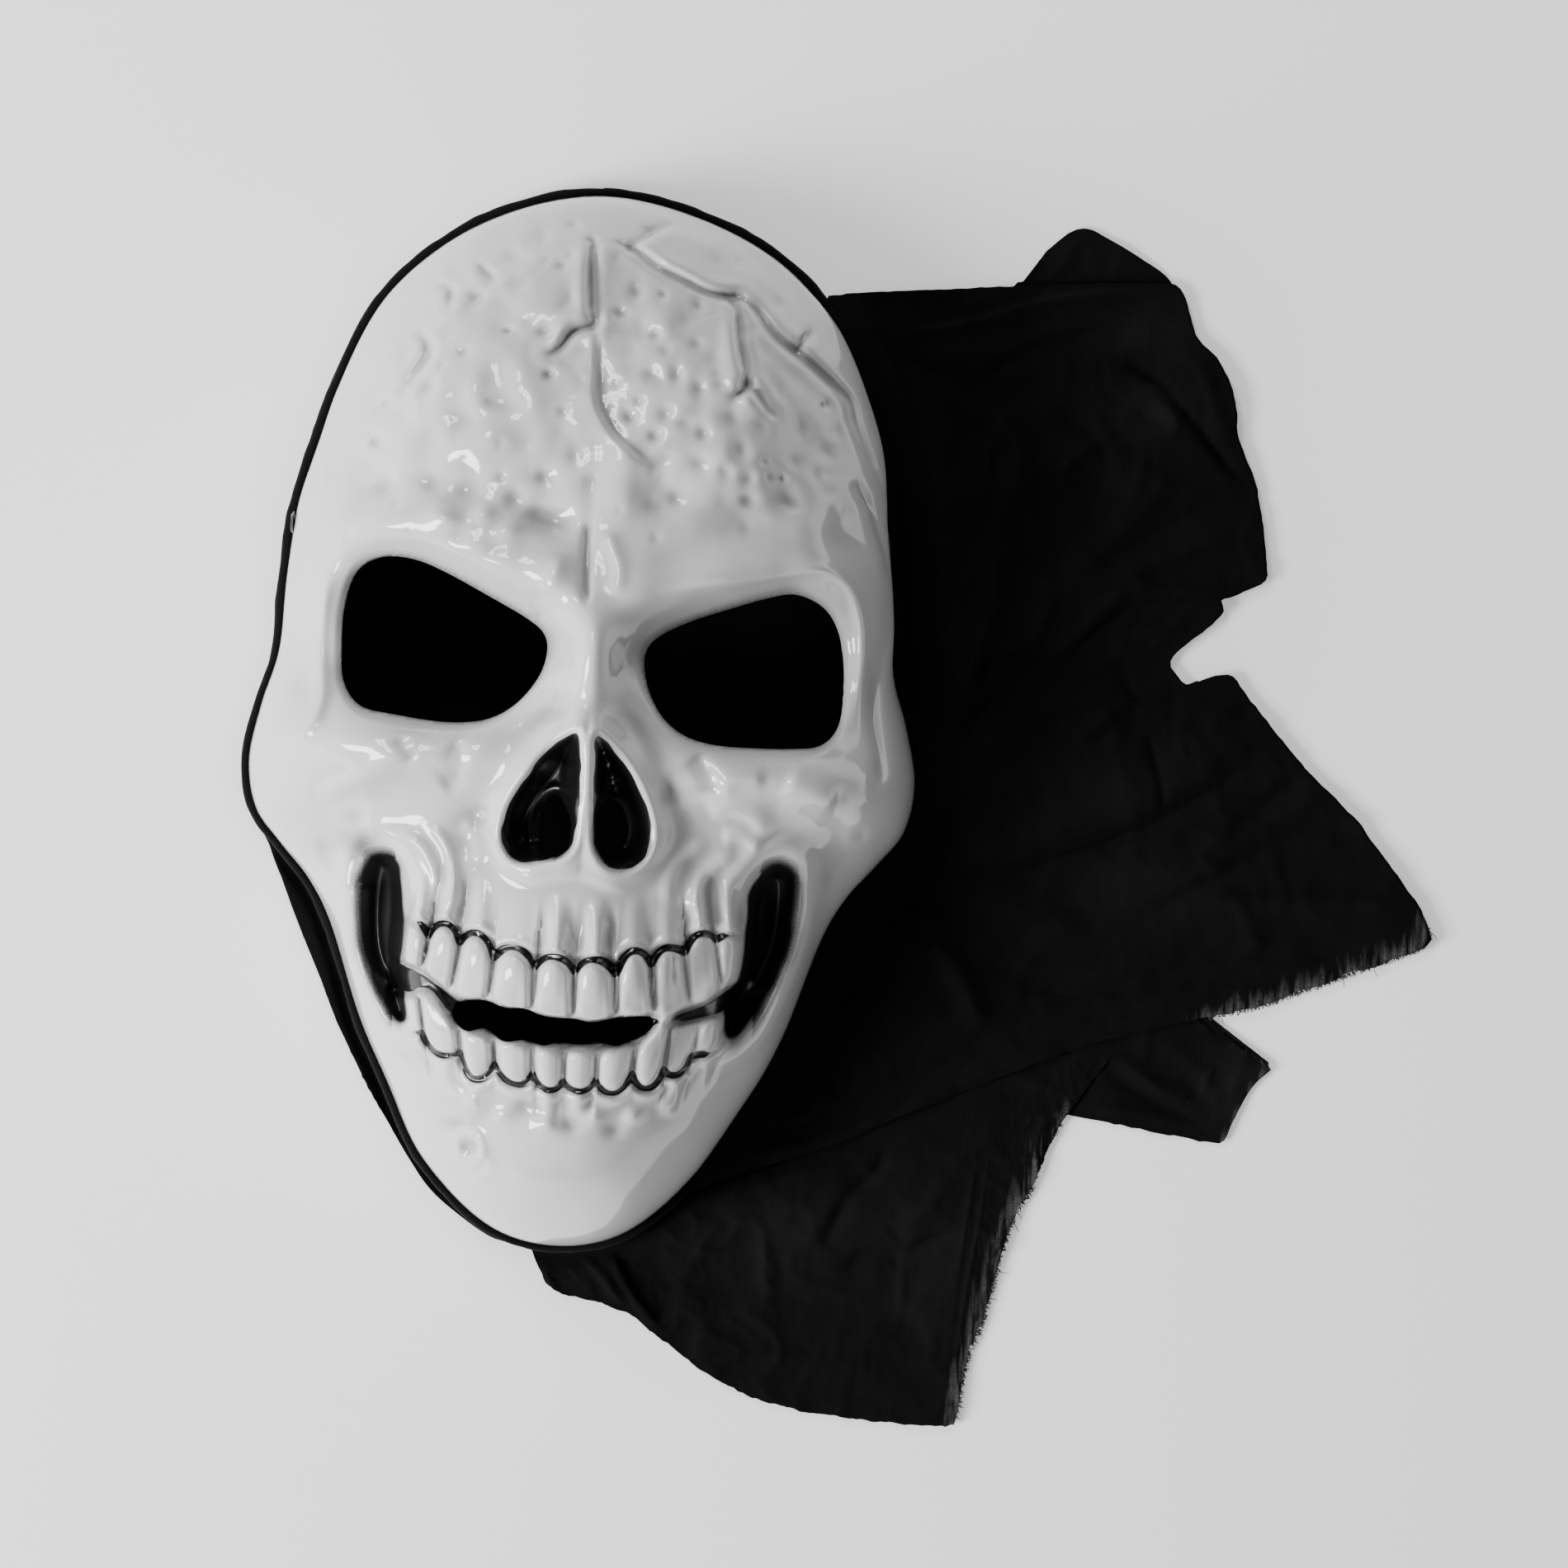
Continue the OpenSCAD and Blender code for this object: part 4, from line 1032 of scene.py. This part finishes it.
def front_sheet():
    """The hood's upper layer, from the hem on the face's right side to its free edge."""
    across, long = FRONT_CELLS
    stops = edge_stops(FRONT_OUT, long)
    edge, rim_y = stops[:, :2], stops[:, 2]
    hem = RIM + to_left(round_directions(RIM)) * HEM_OUT
    half = hem[: len(hem) // 2 + 1]
    order = np.argsort(half[:, 1])
    start = np.stack([np.interp(rim_y, half[order, 1], half[order, 0]), rim_y], -1)
    edge = jagged(edge, start, TIP_EDGE, 900, 4.5, 41, 1.4)
    share = np.linspace(0, 1, across + 1)[:, None] ** 1.12
    x, y = loft(start, edge, share)
    away = np.maximum(inside_distance(x, y, RIM) - HEM_OUT, 0)
    # The cloth falls from the hem, rolls up beside it and dips into a dark valley after that
    z = 2.3 + 5.6 * np.exp(-((away / 7.5) ** 1.5))
    z += 1.3 * ridge(away, 6.5, 2.4) * smooth(120, 100, y) * smooth(-140, -120, y)
    z -= 1.0 * ridge(away, 11.5, 3.0)
    free = smooth(0, 8, (1 - share) * np.linalg.norm(edge - start, axis=1))
    bend = folds(x, y, FRONT_FOLDS) * (0.45 + 0.55 * free)
    wrinkle = crumple(x, y, 51, 15, 1.5) + crumple(x, y, 61, 6.5, 0.45)
    z += smooth(1.0, 12, away) * (bend + wrinkle + 0.9 * noise(x, y, 34, 55))
    z = np.maximum(z, 1.45 + 0.25 * noise(x, y, 5, 57))
    thin = np.zeros(x.shape)
    for cx, cy, rx, ry, pale in ((160, 118, 14, 9, 1), (160, 94, 11, 9, 1),
                                 (160, -44, 22, 12, 0.6), (150, -14, 18, 16, 0.5)):
        thin = np.maximum(thin, pale * hump(x, y, cx, cy, rx, ry))
    return cloth_mesh("hood_front_cloth", x, y, z, fray(x, y, TIP_EDGE, 4.0), thin)


def back_sheet():
    """The hood's lower layer, under the face and out to its rear corner and side flap."""
    middle = np.array([52.0, 5.0])
    dx, dy = disc_grid(*BACK_CELLS)
    turn = np.arctan2(dy, dx)
    reach = reach_round(BACK_OUT - middle)(turn) * np.hypot(dx, dy)
    x, y = middle[0] + reach * np.cos(turn), middle[1] + reach * np.sin(turn)
    gap = inside_distance(x, y, RIM)
    # The parts that show: through the eye holes, at the two corners and past the left jaw
    inner = smooth(-7, -20, gap) * smooth(46, 34, y)
    corner = hump(x, y, 142, 139, 22, 11) * smooth(126, 131, y)
    flap = smooth(-74, -84, y + 0.36 * (x - 181)) * smooth(120, 150, x)
    left = smooth(3.2, 6, gap) * smooth(-20, -35, y) * smooth(0, -20, x)
    z = 0.42 + (inner + corner + flap) * folds(x, y, BACK_FOLDS)
    for part, base, high, seed, size in ((inner, 0.9, 1.6, 71, 22), (corner, 1.2, 1.0, 73, 9),
                                         (flap, 0.8, 1.0, 75, 9), (left, 1.2, 0.8, 77, 12)):
        z += part * (base + crumple(x, y, seed, size, high))
    z = np.maximum(z, 0.40)
    thin = np.maximum(flap * hump(x, y, 192, -100, 10, 12), 0.4 * corner)
    worn = fray(x, y, [(203, -93), (196, -103), (190, -116)], 1.5)
    return cloth_mesh("hood_back_cloth", x, y, z, worn, thin)


def tail_sheet():
    """The cloth that comes out from under the chin to the long frayed edge."""
    across, long = TAIL_CELLS
    stops = edge_stops(TAIL_OUT, long)
    start = stops[:, 2:]
    edge = jagged(stops[:, :2], start, TAIL_EDGE, 700, 5.5, 45, 1.5)
    share = np.linspace(0, 1, across + 1)[:, None]
    x, y = loft(start, edge, share)
    gap = inside_distance(x, y, RIM)
    # How far the point is out from under the front layer's lower edge
    under = (-138.5 + 0.377 * (x - 29)) - y
    calm = smooth(3.2, 9, gap) * smooth(-6, 6, np.where(x > 24, under, 12))
    free = smooth(0, 0.07, 1 - share)
    z = 0.85 + calm * (0.8 + folds(x, y, TAIL_FOLDS) * (0.5 + 0.5 * free) + 0.5 * noise(x, y, 30, 95)
                       + crumple(x, y, 81, 13, 1.3) + crumple(x, y, 91, 6, 0.4))
    z = np.maximum(z, np.where(gap < 4, 0.82, 0.5))
    thin = np.maximum(0.7 * hump(x, y, 60, -148, 30, 12), 0.5 * hump(x, y, 106, -158, 12, 20))
    return cloth_mesh("hood_tail_cloth", x, y, z, fray(x, y, TAIL_EDGE, 4.5), thin)


# The hem's section: distance out from the rim, and height
HEM_SECTION = [
    (1.9, 1.0), (2.35, 1.8), (2.5, 3.4), (2.4, 5.4), (2.15, 7.0), (1.7, 7.9), (1.05, 8.15), (0.5, 7.7),
    (0.22, 6.4), (0.14, 4.4), (0.14, 2.4), (-0.6, 2.36), (-1.3, 2.42), (-1.35, 4.0), (-1.36, 6.0),
    (-1.6, 6.5), (-2.1, 6.5), (-2.4, 6.0), (-2.5, 4.0), (-2.45, 1.8), (-2.1, 1.05), (-0.4, 1.0),
]


def hem_roll():
    """The hood's edge turned round the rim, a soft roll outside the wall and a flat leaf inside."""
    stops = len(RIM) * HEM_STOPS_PER_POINT
    share = np.arange(stops) / stops
    spots = along(np.vstack([RIM, RIM[:1]]), share)
    out = to_left(round_directions(spots))
    run = share * 640.0
    fat = 1 + 0.10 * noise(run, run * 0, 9, 101) + 0.05 * noise(run, run * 0, 3, 102)
    lift = 0.45 * noise(run, run * 0 + 5, 12, 103)
    # The roll stands further out beside the upper face
    wide = fat * (1 + 0.22 * smooth(5, 35, spots[:, 1]))
    verts = []
    for k in range(stops):
        for reach, rise in HEM_SECTION:
            outside = reach > 1.0
            side = reach * wide[k] if outside else reach
            up = rise + (lift[k] * (rise / 8) if outside or rise > 6.6 else 0)
            verts.append((*(spots[k] + out[k] * side), up))
    faces = ring_faces(stops, len(HEM_SECTION), closed=True)
    return make_mesh("rim_hem_cloth", verts, [face[::-1] for face in faces])


def tube(points, radius, sides=4):
    """Vertices and faces of a thin closed tube along points, tapered at its far end."""
    points = np.asarray(points, float)
    way = unit(np.gradient(points, axis=0))
    side = unit(np.cross(way, [0, 0, 1.0]))
    lift = np.cross(side, way)
    verts = []
    for k, p in enumerate(points):
        size = radius * (1 if k < len(points) - 1 else 0.5)
        for i in range(sides):
            turn = 2 * math.pi * i / sides
            verts.append(p + size * (side[k] * math.cos(turn) + lift[k] * math.sin(turn)))
    return verts, ring_faces(len(points), sides)


def threads(name, line, count, low, high, height, seed):
    """Loose threads along a frayed edge, most of them square to it and a few long ones."""
    draw = np.random.RandomState(seed)
    curve = spline(line, 6)
    verts, faces = [], []
    for _ in range(count):
        share = draw.uniform(0.01, 0.99)
        spot, near, far = along(curve, [share, max(share - 0.01, 0), min(share + 0.01, 1)])
        ahead = (far - near) / np.linalg.norm(far - near)
        out = np.array([-ahead[1], ahead[0]])
        size = draw.uniform(low, high) * (2.6 if draw.uniform() < 0.02 else 1)
        lean = draw.normal(0, 0.35) if draw.uniform() < 0.75 else draw.normal(0, 1.2)
        bend = draw.normal(0, 0.5)
        z = height + draw.uniform(0, 0.7)
        path = []
        for t in np.linspace(-0.45, 1, 6):
            turn = lean + bend * max(t, 0)
            way = out * math.cos(turn) + ahead * math.sin(turn)
            sag = (0.7 * t * (1 - t) - 0.5 * t) * size * 0.3
            path.append((*(spot + way * size * t), max(0.25, z + sag)))
        v, f = tube(path, THREAD_RADIUS)
        faces += [[k + len(verts) for k in face] for face in f]
        verts += v
    return make_mesh(name, verts, faces)


def strap_path():
    """The strap's centre line in its own plane, from one riveted tab round to the other."""
    side, bulge = STRAP_X - STRAP_T / 2, STRAP_REACH - STRAP_TAB - STRAP_T / 2
    quarter = [(side, y) for y in (-STRAP_TAB, -STRAP_TAB / 2, 0, STRAP_TAB / 2)]
    for turn in np.linspace(0, math.pi / 2, 61):
        s, c = math.sin(turn), abs(math.cos(turn))
        quarter.append((side * c ** (4 / 3), STRAP_TAB + bulge * s ** (4 / 3)))
    path = quarter + [(-x, y) for x, y in quarter[-2::-1]]
    return along(np.array(path), np.linspace(0, 1, STRAP_STOPS))


def strap_band():
    """The elastic strap: a ribbed woven band, riveted at both temples."""
    path = strap_path()
    out = to_left(np.gradient(path, axis=0))
    out *= np.where((out * path).sum(1) < 0, -1, 1)[:, None]
    # The section: ribs on both faces, thinner at the two edges
    heights = np.linspace(-STRAP_W / 2 + 0.15, STRAP_W / 2 - 0.15, STRAP_RIBS + 1)
    edge = np.minimum(1, (STRAP_W / 2 - np.abs(heights)) / 0.5 + 0.25)
    swell = (STRAP_T / 2 - 0.12 + 0.10 * np.cos(np.arange(STRAP_RIBS + 1) * math.pi)) * edge
    ring = list(zip(heights, swell)) + list(zip(heights[::-1], -swell[::-1]))
    # It dips from its rivets until its far edge is just clear of the slab
    dip = math.asin((STRAP_Z - STRAP_W / 2 - SLAB_T - STRAP_GAP) / STRAP_REACH)
    cd, sd = math.cos(-dip), math.sin(-dip)
    verts = []
    for k, (p, o) in enumerate(zip(path, out)):
        weave = 0.05 * math.sin(k * 1.9)
        for h, t in ring:
            q = p + o * (t + (weave if t > 0 else -weave))
            verts.append((q[0], q[1] * cd - h * sd + STRAP_Y, q[1] * sd + h * cd + STRAP_Z))
    return make_mesh("elastic_band", verts, ring_faces(len(path), len(ring)))


# ---------------------------------------------------------------- materials


def new_material(name):
    """A material, its node tree and its one shader."""
    mat = bpy.data.materials.new(name)
    mat.use_nodes = True
    tree = mat.node_tree
    tree.nodes.clear()
    out = tree.nodes.new("ShaderNodeOutputMaterial")
    bsdf = tree.nodes.new("ShaderNodeBsdfPrincipled")
    tree.links.new(bsdf.outputs[0], out.inputs[0])
    return mat, tree, bsdf


def set_inputs(tree, made, inputs):
    """Links sockets to a node's inputs, and sets plain values on the others."""
    for key, value in inputs.items():
        if isinstance(value, bpy.types.NodeSocket):
            tree.links.new(value, made.inputs[key])
        else:
            made.inputs[key].default_value = value


def node(tree, kind, inputs=None, **settings):
    """A shader node with its inputs and settings."""
    made = tree.nodes.new("ShaderNode" + kind)
    for key, value in settings.items():
        setattr(made, key, value)
    set_inputs(tree, made, inputs or {})
    return made


def remap(tree, value, low, high, to_low=0.0, to_high=1.0):
    """A value's range moved to another."""
    return node(tree, "MapRange", {"Value": value, "From Min": low, "From Max": high,
                                   "To Min": to_low, "To Max": to_high}).outputs["Result"]


def compute(tree, operation, *values):
    """The result of a maths node."""
    return node(tree, "Math", dict(enumerate(values)), operation=operation).outputs[0]


def mix(tree, share, first, second):
    """A blend of two colours, each a socket or an RGB triple."""
    one, two = (c if isinstance(c, bpy.types.NodeSocket) else (*c, 1) for c in (first, second))
    return node(tree, "MixRGB", {"Fac": share, "Color1": one, "Color2": two}).outputs[0]


def attribute(tree, name):
    """A value that the mesh carries on its vertices."""
    return node(tree, "Attribute", attribute_name=name).outputs["Fac"]


def object_place(tree):
    return node(tree, "TexCoord").outputs["Object"]


def mottle(tree, place, scale, detail):
    """A noise texture's value."""
    return node(tree, "TexNoise", {"Vector": place, "Scale": scale, "Detail": detail}).outputs["Fac"]


def bump(tree, height, strength, distance):
    return node(tree, "Bump", {"Height": height, "Strength": strength, "Distance": distance}).outputs[0]


def plastic_material():
    """Glossy white moulded plastic with gloss black paint in its recesses."""
    mat, tree, bsdf = new_material("bone_white_plastic")
    place = object_place(tree)
    broad = mottle(tree, place, 22.0, 4.0)
    tint = mix(tree, broad, (0.69, 0.69, 0.685), (0.75, 0.75, 0.75))
    # Painted shade: a darker base colour in cracks, pits and hollows
    tint = mix(tree, compute(tree, "MULTIPLY", attribute(tree, "hollow"), 0.42), tint, (0.12, 0.12, 0.125))
    # Sharp paint in the nose, between the rows and on the gum lines; soft overspray round the slots
    recess = remap(tree, attribute(tree, "paint_gap"), 0.12, -0.12)
    line = compute(tree, "ABSOLUTE", attribute(tree, "gum_line"))
    line = remap(tree, compute(tree, "SUBTRACT", line, attribute(tree, "gum_width")), 0.08, -0.12)
    grain = compute(tree, "SUBTRACT", mottle(tree, place, 2600.0, 2.0), 0.5)
    spray = compute(tree, "ADD", attribute(tree, "overspray"), compute(tree, "MULTIPLY", grain, 0.5))
    paint = compute(tree, "MAXIMUM", compute(tree, "MAXIMUM", recess, line), remap(tree, spray, 0.12, 0.82))
    gloss = remap(tree, broad, 0.3, 0.7, 0.05, 0.11)
    set_inputs(tree, bsdf, {
        "Base Color": mix(tree, paint, tint, (0.004, 0.004, 0.0045)),
        "Roughness": mix(tree, paint, gloss, (0.30, 0.30, 0.30)),
        "Normal": bump(tree, mottle(tree, place, 900.0, 3.0), 0.03, 0.0004),
        "Coat Weight": 0.12, "Coat Roughness": 0.05, "Specular IOR Level": 0.70})
    return mat


def cloth_material(name, shade, thin_shade):
    """Thin black woven cloth with a faint nap, paler where it is single or worn."""
    mat, tree, bsdf = new_material(name)
    place = object_place(tree)
    broad = mottle(tree, place, 45.0, 5.0)
    weft, warp = (node(tree, "TexWave", {"Vector": place, "Scale": 420.0, "Distortion": 1.5, "Detail": 1.0},
                       bands_direction=way).outputs["Fac"] for way in "XY")
    tone = mix(tree, compute(tree, "MULTIPLY", attribute(tree, "thin"), broad), shade, thin_shade)
    # Worn edges show pale streaks across the edge, broken up by specks
    turned = node(tree, "Mapping", {"Vector": place, "Rotation": (0, 0, 0.24), "Scale": (1.0, 0.12, 1.0)})
    streak = remap(tree, mottle(tree, turned.outputs[0], 600.0, 2.0), 0.35, 0.65, 0.15, 1.0)
    worn = remap(tree, compute(tree, "MULTIPLY", attribute(tree, "worn"), streak), 0.20, 1.0)
    worn = compute(tree, "MULTIPLY", worn, mottle(tree, place, 1500.0, 2.0))
    set_inputs(tree, bsdf, {
        "Base Color": mix(tree, worn, tone, (0.16, 0.16, 0.165)),
        "Roughness": remap(tree, broad, 0.3, 0.7, 0.78, 0.92),
        "Normal": bump(tree, compute(tree, "MULTIPLY", weft, warp), 0.35, 0.0003),
        "Specular IOR Level": 0.12, "Sheen Weight": 0.03, "Sheen Roughness": 0.45})
    return mat


def plain_material(name, shade, rough, metal=0.0, speckle=0.15, scale=300.0, through=0.0):
    """A plain finish with a little mottling."""
    mat, tree, bsdf = new_material(name)
    spots = mottle(tree, object_place(tree), scale, 4.0)
    darker = [c * (1 - speckle) for c in shade]
    set_inputs(tree, bsdf, {
        "Base Color": mix(tree, spots, darker, shade),
        "Roughness": remap(tree, spots, 0.3, 0.7, rough * 0.85, min(1, rough * 1.15)),
        "Metallic": metal})
    if through:
        set_inputs(tree, bsdf, {"Subsurface Weight": through, "Subsurface Scale": 0.5,
                                "Subsurface Radius": (0.003, 0.0025, 0.002)})
    return mat


# ---------------------------------------------------------------- camera, light and floor

CAMERA_PLACE = (0.0019, -0.0196, 1.075)
CAMERA_TURN = math.radians(2.2)
# Half the floor's side, and its height, in millimetres
FLOOR_HALF, FLOOR_Z = 2000, -0.15


def camera():
    """The photograph's view, from straight above with the object left of the middle."""
    cam = add_object("camera", bpy.data.cameras.new("camera"))
    cam.data.lens, cam.data.sensor_width, cam.data.shift_x = 85, 36, 0.125
    cam.location, cam.rotation_euler = CAMERA_PLACE, (0, 0, CAMERA_TURN)
    bpy.context.scene.camera = cam


def floor():
    """A white sheet of paper that glows a little, as an overexposed background does."""
    corners = [(x * FLOOR_HALF, y * FLOOR_HALF, FLOOR_Z) for x, y in ((-1, -1), (1, -1), (1, 1), (-1, 1))]
    paper = make_mesh("floor", corners, [[0, 1, 2, 3]], smooth_shade=False)
    mat, tree, bsdf = new_material("floor_paper")
    set_inputs(tree, bsdf, {"Base Color": (0.97, 0.97, 0.97, 1), "Roughness": 0.9,
                            "Emission Color": (1, 1, 1, 1), "Emission Strength": 0.45})
    paper.data.materials.append(mat)


def room():
    """A room that is bright near the horizon and dim overhead."""
    world = bpy.data.worlds.new("studio")
    bpy.context.scene.world = world
    world.use_nodes = True
    tree = world.node_tree
    toward = node(tree, "TexCoord").outputs["Generated"]
    height = node(tree, "SeparateXYZ", {0: toward}).outputs["Z"]
    glow = remap(tree, height, 0.0, 0.40, 0.50, 0.07)
    set_inputs(tree, tree.nodes["Background"], {"Color": (1, 1, 1, 1), "Strength": glow})


def area(name, place, aim, size, power):
    """A rectangular light that faces a point."""
    light = add_object(name, bpy.data.lights.new(name, "AREA"))
    light.data.shape = "RECTANGLE"
    light.data.size, light.data.size_y = size
    light.data.energy = power
    light.location = place
    light.rotation_euler = (Vector(aim) - Vector(place)).to_track_quat("-Z", "Y").to_euler()


def lights():
    """A key light from the left, a window of six panes above the head, and a low soft light."""
    area("key", (-1.30, -0.50, 0.92), (0, 0, 0.03), (0.6, 0.8), 45)
    for i in range(2):
        for j in range(3):
            place = (-0.62 + 0.22 * i, 0.60 + 0.17 * j, 1.16 - 0.08 * j)
            area(f"pane_{i}{j}", place, (0, 0, 0.05), (0.18, 0.14), 1.35)
    area("low", (-0.30, -1.35, 1.0), (0, -0.05, 0.03), (1.5, 1.1), 4.5)


# ---------------------------------------------------------------- the scene

camera()
floor()
room()
lights()

shell = face_shell()
shell.data.materials.append(plastic_material())
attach(shell, "mask")
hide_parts("face_shell")

hood_black = cloth_material("hood_cloth", (0.0017, 0.0017, 0.0018), (0.0130, 0.0130, 0.0134))
hem_black = cloth_material("hem_cloth", (0.0035, 0.0035, 0.0037), (0.008, 0.008, 0.0084))


def lay(piece, material, slot, *nodes):
    """Gives a cloth piece its material, moves its placement into its points, and hides the CAD parts that it
    stands for.
    """
    piece.data.materials.append(material)
    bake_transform(piece)
    if nodes:
        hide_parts(*nodes)


front = front_sheet()
lay(front, hood_black, "hood_cloth", "hood_collar", "hood_front_panel")
back = back_sheet()
lay(back, hood_black, "hood_cloth", "hood_back_panel", "hood_rear_panel")
tail = tail_sheet()
lay(tail, hood_black, "hood_cloth", "hood_chin_panel", "hood_tail_panel")

thread_black = plain_material("frayed_thread", (0.045, 0.045, 0.047), 0.85)
tip_threads = threads("tip_threads", TIP_EDGE, TIP_THREADS, 0.5, 1.7, 1.4, 201)
lay(tip_threads, thread_black, "hood_cloth")
tail_threads = threads("tail_threads", TAIL_EDGE, TAIL_THREADS, 0.5, 1.8, 1.2, 202)
lay(tail_threads, thread_black, "hood_cloth")

hem = hem_roll()
hem.data.materials.append(hem_black)
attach(hem, "mask")
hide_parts("rim_hem")

band = strap_band()
band.data.materials.append(plain_material("elastic", (0.020, 0.020, 0.022), 0.7, scale=900.0, speckle=0.4))
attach(band, "strap")
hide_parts("elastic_strap")

metal = plain_material("rivet_metal", (0.055, 0.055, 0.06), 0.32, metal=0.9, speckle=0.3)
glue = plain_material("hot_glue", (0.72, 0.68, 0.55), 0.25, through=0.4, scale=120.0)
for name, material in (("rivet_left", metal), ("rivet_right", metal), ("washer_left", metal),
                       ("washer_right", metal), ("glue_bead", glue)):
    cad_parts[name].data.materials.clear()
    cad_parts[name].data.materials.append(material)
